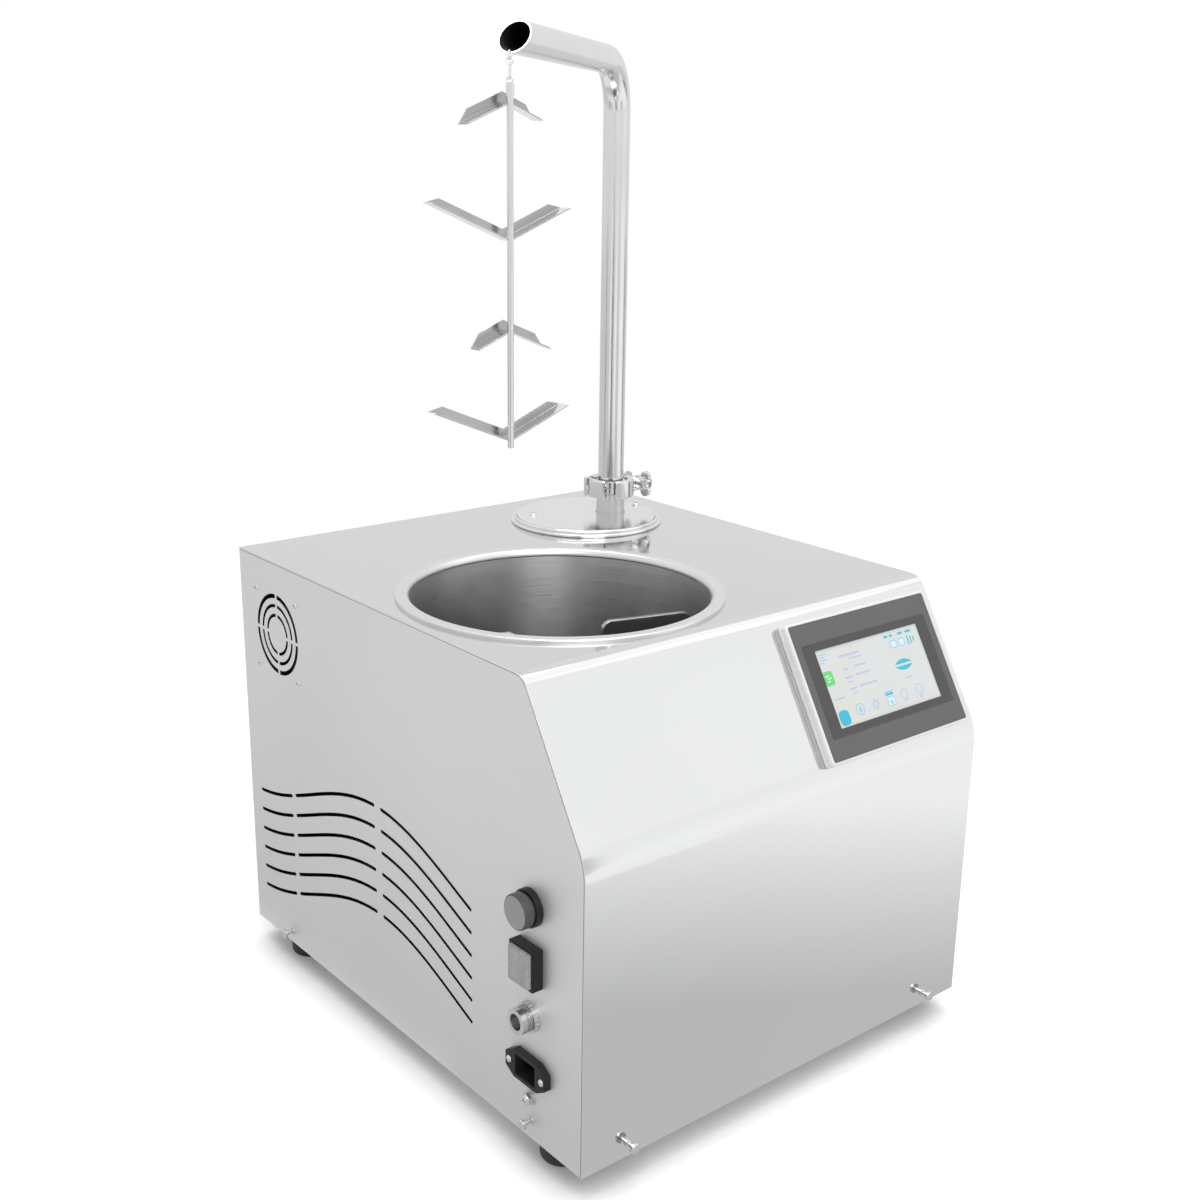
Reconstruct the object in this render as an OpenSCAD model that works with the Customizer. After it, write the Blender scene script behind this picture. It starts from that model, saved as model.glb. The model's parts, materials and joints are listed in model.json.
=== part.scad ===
// Table-top chocolate melting tank: a stirred, heated tank, a gear pump and a swivelling spout
// with a hanging cascade of vanes. Sizes are in millimetres.
// X runs to the right, Y to the back and Z up. The floor is Z = 0, under the middle of the plan.

/* [Cabinet] */
// Width across the side panels
cab_w = 430; // [420:1:480]
// Depth from the front sheet to the rear panel
cab_d = 505; // [495:1:560]
// Height from the lower edge to the top sheet
cab_h = 372; // [362:1:420]
// Thickness of the sheet steel
sheet = 1.5; // [1:0.1:2]
// How far the sloped face leans back
slope_back = 72.5; // [64:0.5:80]
// How far the sloped face drops
slope_drop = 120.5; // [117:0.5:135]
// Bend radius between the slope and the top
bend_r = 16; // [8:1:17]
// Bend radius between the front and the slope
bend_low = 50; // [30:1:52]
// Gap along the seams between sheets
seam = 0.3; // [0.1:0.1:0.6]
// Height of the flanges round the base tray
tray_lip = 20; // [18:1:30]
// Thickness of the base tray
tray_t = 2; // [1.5:0.1:3]

/* [Feet] */
// Height of the rubber feet
foot_h = 22; // [18:1:40]
// Radius of the rubber feet
foot_r = 20; // [16:0.5:22]
// Foot centre to the side of the cabinet
foot_inset_x = 27; // [25:1:60]
// Foot centre to the front and back of the cabinet
foot_inset_y = 55; // [40:1:80]

/* [Tank] */
// Inner radius of the tank as a share of the cabinet's plan
tank_share = 0.2928; // [0.26:0.0002:0.294]
// Wall thickness of the tank
tank_wall = 1.5; // [1:0.1:2]
// Depth of the tank below the cabinet top
tank_depth = 170; // [150:1:180]
// Inner radius of the corner between floor and wall
tank_knuckle = 12; // [9:0.5:16]
// Width of the rim outside the tank wall
rim_w = 11; // [8:0.5:14]
// Height of the rim above the cabinet top
rim_h = 3; // [2.5:0.5:8]
// How far the rim overhangs the tank wall
rim_lip = 1.5; // [0.5:0.1:2.5]
// Rim to the left side of the cabinet
rim_margin = 10; // [8:0.5:20]

/* [Stirrer] */
// Radius of the drive shafts
shaft_r = 6; // [5:0.5:7]
// Running clearance of a shaft in its bore
shaft_fit = 0.05; // [0.02:0.01:0.1]
// Paddle to the tank wall and floor
paddle_gap = 4; // [2.5:0.5:6]
// Top of the paddles below the cabinet top
paddle_drop = 30; // [20:1:60]
// Inner edge of the paddles from the axis
paddle_in = 38; // [30:1:60]
// Thickness of the paddles
paddle_t = 5; // [3:0.5:8]
// Plan angle of the paddles at rest
paddle_turn = -15.5; // [-90:0.5:90]

/* [Heating] */
// Thickness of the heater band
heater_t = 4; // [2:0.5:5]
// Height of the heater band
heater_h = 70; // [40:1:80]
// Thickness of the insulation jacket
jacket_t = 9; // [5:0.5:10]

/* [Pump] */
// Teeth on each pump gear
gear_teeth = 12; // [12:4:16]
// Gear module
gear_m = 3; // [2.5:0.1:3]
// Height of the gears
gear_h = 27; // [22:0.5:32]
// Gap of the gears in their chamber
gear_gap = 0.4; // [0.3:0.05:0.6]
// Radius of the flow passages
port_r = 9; // [7:0.5:10]
// Wall thickness of the pump body
pump_wall = 9; // [7:0.5:12]
// Suction pipe axis above the tank floor
suction_up = 25; // [24:0.5:32]

/* [Pump cover] */
// Radius of the cover plate as a share of the cabinet's plan
cover_share = 0.1721; // [0.155:0.0001:0.185]
// Thickness of the cover plate
cover_t = 6; // [4:0.5:9]
// Cover plate to the right side of the cabinet
cover_margin_x = 35; // [30:0.5:50]
// Cover plate to the back of the cabinet
cover_margin_y = 30; // [25:0.5:45]

/* [Spout] */
// Delivery stub to the right of the cover centre
stub_dx = 26; // [10:0.5:32]
// Delivery stub in front of the cover centre
stub_dy = 6; // [0:0.5:14]
// Outer radius of the delivery stub
stub_r = 14; // [13.5:0.1:14.5]
// Outer radius of the spout pipe
pipe_r = 12.5; // [11:0.1:13]
// Wall thickness of the spout pipe
pipe_wall = 1.2; // [1:0.1:1.5]
// Clamp above the cover plate
clamp_up = 16.5; // [8:0.5:40]
// Height of the clamp
clamp_h = 18; // [17:0.5:24]
// Outer radius of the clamp ring
clamp_r = 23; // [22:0.1:26]
// Plan angle of the clamp's bolt
clamp_turn = 8; // [-40:1:40]
// Arm centreline above the cabinet top
spout_h = 428; // [380:1:500]
// Centreline radius of the elbow
elbow_r = 45; // [35:1:60]
// Stub axis to the middle of the bevelled end
reach = 294; // [240:1:330]
// Plan angle of the arm
arm_turn = -144.9; // [-180:0.1:-100]
// Rise of the arm above level
arm_rise = 0.5; // [0:0.1:5]
// Bevel of the spout's end
lip_cut = 45; // [30:1:50]

/* [Cascade] */
// Wire radius of the chain
wire_r = 0.6; // [0.5:0.05:0.7]
// Mean radius of the upper ring
ring_a = 3.2; // [3:0.1:4]
// Mean radius of the lower ring
ring_b = 2.6; // [2.5:0.1:3.4]
// Mean half width of the long link
link_w = 1.5; // [1.4:0.05:2]
// Straight length of the long link
link_len = 8.4; // [6:0.1:14]
// Gap between neighbouring chain wires
wire_gap = 0.35; // [0.3:0.05:0.5]
// Radius of the vane rod
rod_r = 2.5; // [2:0.1:3.5]
// Length of the vane rod
rod_len = 271; // [268:1:300]
// First tier below the rod's top
tier_1 = 14; // [14:1:40]
// Second tier below the rod's top
tier_2 = 113; // [90:1:125]
// Third tier below the rod's top
tier_3 = 181; // [150:1:200]
// Fourth tier below the rod's top
tier_4 = 266; // [230:1:267]
// Plan length of the longer arm of a vane that rises outwards
vane_long = 71; // [56:0.5:74]
// Plan length of its shorter arm
vane_long_b = 57.5; // [50:0.5:70]
// Plan length of the longer arm of a vane that falls outwards
vane_short = 39; // [36:0.5:60]
// Plan length of its shorter arm
vane_short_b = 30; // [28:0.5:50]
// Width of a vane's flat
vane_flat = 12; // [9:0.5:14]
// Height of a vane's upright
vane_back = 8; // [6:0.5:11]
// Thickness of the vane sheet
vane_t = 1; // [0.8:0.1:1.5]
// Slope of the vanes
vane_slope = 22; // [10:1:35]
// Plan angle of the tiers from the arm
vane_turn = 145; // [90:1:180]

/* [Display] */
// Width of the display housing
hmi_w = 170; // [150:0.5:175]
// Height of the display housing
hmi_h = 118; // [100:0.5:120]
// Housing in front of the slope
hmi_out = 9; // [5:0.5:14]
// Housing to the right side of the cabinet
hmi_margin = 14; // [10:0.5:24]
// Pale border round the face plate
hmi_border = 2.6; // [2:0.1:4]
// Width of the lit screen
screen_w = 125; // [110:0.5:130]
// Height of the lit screen
screen_h = 65; // [58:0.5:72]

/* [Controls] */
// Control column behind the cabinet front
control_in = 62.3; // [40:0.1:75]
// Button above the cabinet's lower edge
button_up = 196.5; // [190:0.5:215]
// Rocker switch above the cabinet's lower edge
rocker_up = 151.3; // [144:0.1:156]
// Threaded socket above the cabinet's lower edge
socket_up = 106.2; // [102:0.1:110]
// Mains inlet above the cabinet's lower edge
inlet_up = 61.5; // [58:0.5:64]
// Earth screw above the cabinet's lower edge
earth_up = 36; // [33:0.5:38]
// Radius of the button
button_r = 15; // [13:0.1:16]
// Height of the button's ring
button_ring = 5.5; // [3:0.5:7]
// Height of the button's cap
button_cap_h = 7.5; // [6:0.5:12]
// Travel of the button
button_travel = 2; // [1.5:0.5:4]
// Height of the rocker switch's frame
rocker_out = 9.5; // [8:0.5:12]
// Height of the rocker switch's hood
hood_h = 3; // [3:0.5:5]
// Height of the threaded socket
socket_out = 14.5; // [13:0.5:15]
// Thickness of the mains inlet's flange
inlet_t = 6; // [3:0.5:7]

/* [Fan] */
// Side of the fan frame
fan_size = 80; // [70:1:84]
// Spacing of the fan screws
fan_pitch = 71.5; // [62:0.5:72]
// Depth of the fan frame
fan_depth = 25; // [20:1:32]
// Fan centre below the cabinet top and in front of the back
fan_inset = 66.5; // [60:0.5:80]

/* [Vents] */
// Rows of vent slots
vent_rows = 6; // [3:1:6]
// Height from row to row
vent_pitch = 19.75; // [15:0.25:20]
// Width of a slot
vent_w = 3.3; // [2:0.1:5]
// Middle of the top wave above the cabinet's lower edge
vent_up = 168.7; // [160:0.1:180]
// Height of the wave above its middle
wave_h = 29; // [10:0.5:32]
// Length of the wave
wave_len = 456; // [440:1:480]
// Crest of the wave in front of the back
wave_in = 230.5; // [220:0.5:240]

/* [Hidden] */
$fn = 72;
eps = 0.5;

// Cabinet outline
plan_ratio = 0.8515;
plan_side = min(cab_w, plan_ratio * cab_d);
tank_r = tank_share * plan_side;
cover_r = cover_share * plan_side;
sa = atan2(slope_drop, slope_back);
left_reach = max(button_ring + button_travel + button_cap_h, rocker_out + hood_h, socket_out);
cab_x = left_reach / 2;
left_x = cab_x - cab_w / 2;
right_x = cab_x + cab_w / 2;
front_y = -cab_d / 2;
back_y = cab_d / 2;
base_z = foot_h;
top_z = foot_h + cab_h;
low_tan = bend_low * tan((90 - sa) / 2);
high_tan = bend_r * tan(sa / 2);
low_c = [front_y + bend_low, top_z - slope_drop - low_tan];
high_c = [front_y + slope_back + high_tan, top_z - bend_r];
slope_n = [-sin(sa), cos(sa)];
bend_steps = 10;
tray_top = base_z + tray_t;
inner_l = left_x + sheet + seam;
inner_r = right_x - sheet - seam;
inner_f = front_y + sheet + seam;
inner_b = back_y - sheet - seam;

// Tank and stirrer
rim_r = tank_r + rim_w;
tank_out = tank_r + tank_wall;
tank_x = left_x + rim_margin + rim_r;
tank_y = high_c[0] + rim_r;
floor_z = top_z - tank_depth;
hole_gap = 1;
paddle_out = tank_r - paddle_gap;
paddle_k = tank_knuckle - paddle_gap;
hub_r = shaft_r + 8;
hub_h = 30;
seal_r = 2 * shaft_r;
seal_up = 2;
seal_down = 6;
bearing_h = 16;
bearing_r = 2 * seal_r;
motor_top = floor_z - 40;
shaft_in = 20;
gearbox = 72;
gearbox_h = 48;
stand_t = 4;
leg_t = 3;
heater_z = floor_z + suction_up + 18;
jacket_end = 6;
jacket_gap = 0.3;

// Spout, cover and pump places
cover_x = right_x - cover_margin_x - cover_r;
cover_y = back_y - cover_margin_y - cover_r;
stub_x = cover_x + stub_dx;
stub_y = cover_y - stub_dy;
pump_turn = atan2(stub_y - tank_y, stub_x - tank_x);
pump_reach = norm([stub_x - tank_x, stub_y - tank_y]);
pitch_r = gear_m * gear_teeth / 2;
tip_r = pitch_r + 0.8 * gear_m;
root_r = pitch_r - 1.1 * gear_m;
chamber_r = tip_r + gear_gap;
riser_seat = stub_r + 6;
gear_x = pump_reach - riser_seat - chamber_r;
pump_x0 = gear_x - chamber_r - pump_wall;
pump_x1 = pump_reach + riser_seat;
pump_half = pitch_r + chamber_r + pump_wall;
suction_z = floor_z + suction_up;
chamber_h = gear_h + 2 * gear_gap;
chamber_z = suction_z - chamber_h / 2;
pump_floor = 6;
pump_z = chamber_z - pump_floor;
pump_top = chamber_z + chamber_h;
lid_t = 6;
lid_top = pump_top + lid_t;
bolt_in = 6;
pipe_wall_in = 2;
suction_r = port_r + pipe_wall_in;

// Clamp and spout
cover_top = top_z + cover_t;
clamp_z = cover_top + clamp_up + clamp_h / 2;
ferrule_r = clamp_r - 5;
ferrule_t = 4;
gasket_t = 1;
face_gap = 0.05;
ring_gap = 0.4;
clamp_lip = ferrule_r - 1.6;
clamp_pin_r = 2;
knuckle_r = 4;
hinge_r = ferrule_r + ring_gap + knuckle_r + 0.2;
hinge_turn = 139;
ear_r = clamp_r + 11;
bolt_r = 3;
ear_y0 = 4;
ear_y1 = 9;
bolt_pivot = 7;
eye_half = bolt_r + 0.4;
third = clamp_h / 6;
eye_gap = 0.3;
arc_end = 13;
ear_end = 10;
nut_gap = 0.4;
nut_h = 9;
arm_z = top_z + spout_h;
bore_r = pipe_r - pipe_wall;
elbow_turn = 90 - arm_rise;
elbow_swell = 0.05;
arm_x0 = elbow_r - elbow_r * sin(arm_rise);
arm_z0 = arm_z - elbow_r + elbow_r * cos(arm_rise);
arm_len = (reach - arm_x0) / cos(arm_rise);
bridge = 1.6;
eyelet_r = 2;
lip_len = arm_len + (pipe_r - pipe_wall / 2) * tan(lip_cut);
bridge_s = lip_len - bridge / 2;
bridge_d = pipe_r - pipe_wall / 2;
hang_x = arm_x0 + bridge_s * cos(arm_rise) + bridge_d * sin(arm_rise);
hang_z = arm_z0 + bridge_s * sin(arm_rise) - bridge_d * cos(arm_rise);

// Chain, from the spout's lip down
lip_gap = 0.5;
ring_a_z = hang_z + pipe_wall / 2 + lip_gap + wire_r - ring_a;
ring_a_low = ring_a_z - ring_a;
wire_step = 2 * wire_r + wire_gap;
ring_b_z = ring_a_low + wire_step - ring_b;
ring_b_low = ring_b_z - ring_b;
link_top = ring_b_low + wire_step;
link_z = link_top - link_w;
link_low = link_z - link_len - link_w;
eye_r = 2.2;
eye_z = link_low + wire_step - eye_r;
rod_top = eye_z - eye_r;
sleeve_h = 9;
sleeve_t = 0.6;
vane_seat = 1;
vane_off = vane_flat - vane_seat;
weld_gap = 0.05;
vane_cut = 56;

// Display
hmi_x = right_x - hmi_margin - hmi_w / 2;
hmi_up = 4.5;
hmi_mid = high_c + bend_r * slope_n - (hmi_h / 2 + hmi_up) * [cos(sa), sin(sa)];
hmi_deep = 28;
hmi_step = 8;
hmi_wall = 2;
face_t = 1;
panel_t = 4;

// Left side
control_y = front_y + control_in;
fan_y = back_y - fan_inset;
fan_z = top_z - fan_inset;
button_bore = 0.57 * button_r;
button_neck = 0.8 * button_r;
cap_in = 1.2;
rocker_h = 33;
rocker_w = 29;
rocker_deep = 20;
rocker_key_h = 24;
rocker_key_w = 17;
rocker_tilt = 8;
rocker_pin = 1.5;
rocker_pin_out = rocker_out - 7;
hood_t = 1;
hood_in = 2;
socket_r = 10.3;
socket_neck = 9;
socket_nut = 12;
socket_nut_h = 5;
socket_collar = 5;
inlet_w = 48.5;
inlet_h = 24;
inlet_pitch = 40;
inlet_cav_w = 24.5;
inlet_cav_h = 17;
inlet_deep = 17;
fan_bore = 38;
fan_hub = 15;
fan_blades = 7;
fan_pin = 1.5;
wave_y = back_y - wave_in;
wave_z = base_z + vent_up;
vent_cuts = [[21, 79], [88, 223.5], [236, 364.5]];
vent_steps = 12;

// Electrics
board_w = 110;
board_d = 80;
board_in = 20;
board_post = 10;
supply_w = 60;
supply_d = 100;
supply_h = 44;

// Fasteners
foot_bolt_r = 3;
foot_bolt_head = 7;
foot_recess = 10;
m4 = 2;
m4_head = 3.8;
m4_head_h = 2.4;
m4_len = 8;
m4_hole = 2.2;
stud_out = 10;
stud_head = 4.5;
stud_head_h = 2.5;
stud_foot = 2.9;
stud_foot_h = 1.5;
m3 = 1.5;
m3_head = 2.9;
m3_head_h = 1.9;
m3_hole = 1.7;
screw_up = 11.5;
side_screw_in = 68;
side_screw_up = 15.5;
foot_hole_in = 13;
foot_hole_up = 5.5;
foot_hole = 3;
front_screw_in = 44;
cover_bolts = [[cover_r - 21.5, 150], [cover_r - 10, 0]];

// Shared places and shapes

module along_x(x, len) {
    translate([x, 0, 0]) rotate([90, 0, 90]) linear_extrude(len) children();
}

// Places a child on the left side: its X is up, its Y is back and its Z points out
module on_left(y, z) {
    translate([left_x, y, z]) rotate([0, -90, 0]) children();
}

module on_right(y, z) {
    translate([right_x, y, z]) rotate([0, 90, 0]) children();
}

module on_front(x, z) {
    translate([x, front_y, z]) rotate([90, 0, 0]) children();
}

module on_back(x, z) {
    translate([x, back_y, z]) rotate([-90, 0, 0]) children();
}

// Places a child on the slope: its X is right, its Y runs up the slope and its Z points out
module on_slope() {
    translate([hmi_x, hmi_mid[0], hmi_mid[1]]) rotate([sa, 0, 0]) children();
}

module at_tank(z = 0) {
    translate([tank_x, tank_y, z]) children();
}

// Places a child on the tank's axis with X towards the delivery stub
module at_pump(x = 0, y = 0, z = 0) {
    translate([tank_x, tank_y, 0]) rotate([0, 0, pump_turn]) translate([x, y, z]) children();
}

module at_stub(z = 0) {
    translate([stub_x, stub_y, z]) children();
}

module at_clamp() {
    at_stub(clamp_z) rotate([0, 0, clamp_turn]) children();
}

// Places a child on the stub's axis with X along the spout's arm
module at_spout() {
    at_stub() rotate([0, 0, arm_turn]) children();
}

module at_hang(z) {
    at_spout() translate([hang_x, 0, z]) children();
}

// Points along an arc of the side view
function arc(c, r, from, to) = [
    for (i = [0:bend_steps])
        c + r * [cos(from + (to - from) * i / bend_steps), sin(from + (to - from) * i / bend_steps)]
];

// Front, slope and top of the cabinet, drawn in by a distance
function outline(inset) = concat(
    [[front_y + inset, base_z]],
    arc(low_c, bend_low - inset, 180, 90 + sa),
    arc(high_c, bend_r - inset, 90 + sa, 90),
    [[back_y, top_z - inset]]
);

function reversed(list) = [for (i = [len(list) - 1:-1:0]) list[i]];

module tube(r, bore, h) {
    difference() {
        cylinder(r = r, h = h);
        translate([0, 0, -eps]) cylinder(r = bore, h = h + 2 * eps);
    }
}

module block(w, d, h) {
    translate([-w / 2, -d / 2, 0]) cube([w, d, h]);
}

module round_rect(w, h, k) {
    translate([k, 0]) square([w - 2 * k, h]);
    translate([0, k]) square([w, h - 2 * k]);
    for (x = [k, w - k], y = [k, h - k])
        translate([x, y]) circle(k);
}

module round_block(w, d, h, k) {
    linear_extrude(h) translate([-w / 2, -d / 2]) round_rect(w, d, k);
}

// Screw with a domed head on Z = 0 and its shank below
module screw(r, head, head_h, len) {
    dome = (head * head + head_h * head_h) / (2 * head_h);
    translate([0, 0, -len]) cylinder(r = r, h = len + head_h / 3);
    difference() {
        intersection() {
            translate([0, 0, head_h - dome]) sphere(dome);
            cylinder(r = head, h = head_h);
        }
        translate([0, 0, head_h * 0.45]) cylinder(r = head * 0.4, h = head_h, $fn = 6);
    }
}

module m4_screw(len = m4_len) {
    screw(m4, m4_head, m4_head_h, len);
}

module m3_screw(len) {
    screw(m3, m3_head, m3_head_h, len);
}

// Headed stud that stands out of the sheet, threaded part below Z = 0
module stud() {
    rotate_extrude() polygon([
        [0, -m4_len],
        [m4, -m4_len],
        [m4, 0],
        [stud_foot, 0],
        [stud_foot, stud_foot_h],
        [m4, stud_foot_h + 0.6],
        [m4, stud_out - stud_head_h],
        [stud_head, stud_out - stud_head_h],
        [stud_head, stud_out - 0.8],
        [stud_head - 0.8, stud_out],
        [0, stud_out]
    ]);
}

module drill(r, deep, out = 5) {
    translate([0, 0, -deep]) cylinder(r = r, h = deep + out);
}

module each_front_screw() {
    for (x = [left_x + front_screw_in, right_x - front_screw_in])
        on_front(x, base_z + screw_up) children();
}

module each_back_screw() {
    for (x = [left_x + front_screw_in, right_x - front_screw_in])
        on_back(x, base_z + screw_up) children();
}

module each_left_screw() {
    on_left(back_y - side_screw_in, base_z + screw_up) children();
    on_left(control_y, base_z + side_screw_up) children();
}

module each_right_screw() {
    for (y = [front_y + side_screw_in, back_y - side_screw_in])
        on_right(y, base_z + screw_up) children();
}

module each_foot() {
    for (x = [left_x + foot_inset_x, right_x - foot_inset_x],
         y = [front_y + foot_inset_y, back_y - foot_inset_y])
        translate([x, y, 0]) children();
}

module each_cover_bolt() {
    for (b = cover_bolts)
        translate([cover_x, cover_y, cover_top]) rotate([0, 0, b[1]]) translate([b[0], 0, 0]) children();
}

module each_lid_bolt() {
    for (x = [pump_x0 + bolt_in, pump_x1 - bolt_in], y = [-1, 1])
        at_pump(x, y * (pump_half - bolt_in), lid_top) children();
}

module each_fan_screw() {
    for (a = [-1, 1], b = [-1, 1])
        on_left(fan_y + a * fan_pitch / 2, fan_z + b * fan_pitch / 2) children();
}

module each_inlet_screw() {
    for (a = [-1, 1])
        on_left(control_y + a * inlet_pitch / 2, base_z + inlet_up) children();
}

// Cabinet

module wrap_shell() {
    color("gainsboro") difference() {
        along_x(left_x, cab_w) polygon(concat(outline(0), reversed(outline(sheet))));
        at_tank(top_z - sheet - 1) cylinder(r = tank_out + hole_gap, h = sheet + 2);
        at_stub(top_z - sheet - 1) cylinder(r = stub_r + hole_gap, h = sheet + 2);
        each_cover_bolt() drill(m4_hole, cover_t + sheet + 1);
        on_slope() translate([0, 0, -sheet - 2])
            block(hmi_w - 2 * hmi_step + seam, hmi_h - 2 * hmi_step + seam, sheet + 4);
        each_front_screw() drill(m4_hole, sheet + 1);
    }
}

module side_sheet(x) {
    along_x(x, sheet) polygon(concat(outline(sheet + seam), [[back_y, base_z]]));
}

// Height of the top wave over the panel
function wave(y) = wave_z + wave_h * cos(360 * (y - wave_y) / wave_len);
function wave_lean(y) = atan(-wave_h * 2 * PI / wave_len * sin(360 * (y - wave_y) / wave_len));
function wave_edge(y, side) = [
    y - side * vent_w / 2 * sin(wave_lean(y)),
    wave(y) + side * vent_w / 2 * cos(wave_lean(y))
];

// One slot between two distances in front of the back, with round ends
module vent_slot(cut) {
    y0 = back_y - cut[0];
    y1 = back_y - cut[1];
    ys = [for (i = [0:vent_steps]) y0 + (y1 - y0) * i / vent_steps];
    polygon(concat(
        [for (y = ys) wave_edge(y, 1)],
        [for (i = [vent_steps:-1:0]) wave_edge(ys[i], -1)]
    ));
    for (y = [y0, y1])
        translate([y, wave(y)]) circle(vent_w / 2);
}

module fan_slot(r, w) {
    difference() {
        tube(r + w / 2, r - w / 2, sheet + 2);
        for (a = [0, 90])
            rotate([0, 0, a]) translate([0, 0, -1]) block(2 * r + 2 * w, 3, sheet + 4);
    }
}

module left_panel() {
    color("gainsboro") difference() {
        side_sheet(left_x);
        for (row = [0:vent_rows - 1], cut = vent_cuts)
            along_x(left_x - 1, sheet + 2) translate([0, -row * vent_pitch]) vent_slot(cut);
        on_left(fan_y, fan_z) translate([0, 0, -sheet - 1]) {
            fan_slot(0.44 * fan_size, 4);
            fan_slot(0.33 * fan_size, 3);
            fan_slot(0.22 * fan_size, 3);
        }
        each_fan_screw() drill(m3_hole, sheet + 1);
        each_left_screw() drill(m4_hole, sheet + 1);
        on_left(control_y, base_z + button_up) drill(button_neck + seam, sheet + 1);
        on_left(control_y, base_z + rocker_up) translate([0, 0, -sheet - 1])
            block(rocker_h - 3 + seam, rocker_w - 3 + seam, sheet + 2);
        on_left(control_y, base_z + socket_up) drill(socket_neck + seam, sheet + 1);
        on_left(control_y, base_z + inlet_up) translate([0, 0, -sheet - 1])
            block(inlet_h - 4 + seam, inlet_cav_w + 4 + seam, sheet + 2);
        each_inlet_screw() drill(m3_hole, sheet + 1);
        on_left(control_y, base_z + earth_up) drill(m4_hole, sheet + 1);
        on_left(control_y + foot_hole_in, base_z + foot_hole_up) drill(foot_hole, sheet + 1);
    }
}

module right_panel() {
    color("gainsboro") difference() {
        side_sheet(right_x - sheet);
        each_right_screw() drill(m4_hole, sheet + 1);
    }
}

module rear_panel() {
    flange = 14;
    high = top_z - sheet - seam - base_z;
    color("silver") difference() {
        union() {
            translate([inner_l, back_y - sheet, base_z]) cube([inner_r - inner_l, sheet, high]);
            for (x = [inner_l, inner_r - sheet])
                translate([x, back_y - flange, tray_top + tray_lip + seam])
                    cube([sheet, flange, high - tray_t - tray_lip - 2 * seam]);
        }
        each_back_screw() drill(m4_hole, sheet + 1);
    }
}

module base_tray() {
    wide = inner_r - inner_l;
    deep = inner_b - inner_f;
    color("darkgray") difference() {
        translate([inner_l, inner_f, base_z]) difference() {
            cube([wide, deep, tray_t + tray_lip]);
            translate([tray_t, tray_t, tray_t]) cube([wide - 2 * tray_t, deep - 2 * tray_t, tray_lip + 1]);
        }
        each_foot() cylinder(r = foot_bolt_r + seam, h = tray_top + 1);
        each_front_screw() drill(m4_hole, m4_len + 2);
        each_back_screw() drill(m4_hole, m4_len + 2);
        each_left_screw() drill(m4_hole, m4_len + 2);
        each_right_screw() drill(m4_hole, m4_len + 2);
        on_left(control_y + foot_hole_in, base_z + foot_hole_up) drill(foot_hole, sheet + seam + tray_t + 1);
    }
}

module rubber_feet() {
    color("black") each_foot() rotate_extrude() polygon([
        [foot_bolt_r + seam, foot_recess],
        [foot_bolt_head + 2, foot_recess],
        [foot_bolt_head + 2, 0],
        [foot_r - 3, 0],
        [foot_r - 1, 2],
        [foot_r, base_z - 2],
        [foot_r - 2, base_z],
        [foot_bolt_r + seam, base_z]
    ]);
}

module foot_bolts() {
    color("silver") each_foot() {
        translate([0, 0, foot_recess - 4]) cylinder(r = foot_bolt_head, h = 4);
        translate([0, 0, foot_recess - 1]) cylinder(r = foot_bolt_r, h = tray_top + 7 - foot_recess);
        translate([0, 0, tray_top]) cylinder(r = foot_bolt_r + 2.8, h = 5, $fn = 6);
    }
}

module cabinet_screws() {
    color("silver") {
        each_front_screw() stud();
        each_back_screw() m4_screw();
        each_left_screw() stud();
        each_right_screw() m4_screw();
        each_cover_bolt() m4_screw(cover_t + 6);
        each_lid_bolt() m4_screw(lid_t + 10);
    }
}

module small_screws() {
    color("silver") {
        each_fan_screw() m3_screw(sheet + 12);
        each_inlet_screw() translate([0, 0, inlet_t]) m3_screw(inlet_t + 8);
    }
}

// Tank and stirrer

module cup(r, low, high, k) {
    translate([0, low]) square([r - k, high - low]);
    translate([0, low + k]) square([r, high - low - k]);
    translate([r - k, low + k]) circle(k);
}

module rim_section() {
    k = rim_h * 0.45;
    w = rim_w + rim_lip;
    translate([tank_r - rim_lip, top_z]) {
        translate([k, 0]) square([w - 2 * k, rim_h]);
        square([w, rim_h - k]);
        for (x = [k, w - k])
            translate([x, rim_h - k]) circle(k);
    }
}

module tank_bowl() {
    color("lightgray") difference() {
        at_tank() rotate_extrude() {
            difference() {
                cup(tank_out, floor_z - tank_wall, top_z + 1, tank_knuckle + tank_wall);
                cup(tank_r, floor_z, top_z + 2, tank_knuckle);
            }
            rim_section();
        }
        at_tank(floor_z - tank_wall - 1) cylinder(r = seal_r + shaft_fit, h = tank_wall + 2);
        at_pump(tank_r - tank_knuckle, 0, suction_z) rotate([0, 90, 0])
            cylinder(r = suction_r + shaft_fit, h = tank_knuckle + 10);
    }
}

module heater_band() {
    color("sienna") at_tank(heater_z) tube(tank_out + jacket_gap + heater_t, tank_out + jacket_gap, heater_h);
}

module insulation_jacket() {
    bore = tank_out + 2 * jacket_gap + heater_t;
    color("khaki") at_tank(heater_z - jacket_end) difference() {
        tube(bore + jacket_t, tank_out + jacket_gap, heater_h + 2 * jacket_end);
        translate([0, 0, jacket_end - jacket_gap]) cylinder(r = bore, h = heater_h + 2 * jacket_gap);
    }
}

module temperature_sensor() {
    color("white") at_tank(floor_z - tank_wall) rotate([0, 0, -120]) translate([tank_r / 2, 0, -8]) {
        cylinder(r = 9, h = 8);
        translate([0, 0, -6]) cylinder(r = 4, h = 7);
    }
}

module shaft_seal() {
    color("dimgray") at_tank(floor_z - tank_wall - seal_down)
        tube(seal_r, shaft_r + shaft_fit, tank_wall + seal_down + seal_up);
}

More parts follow.
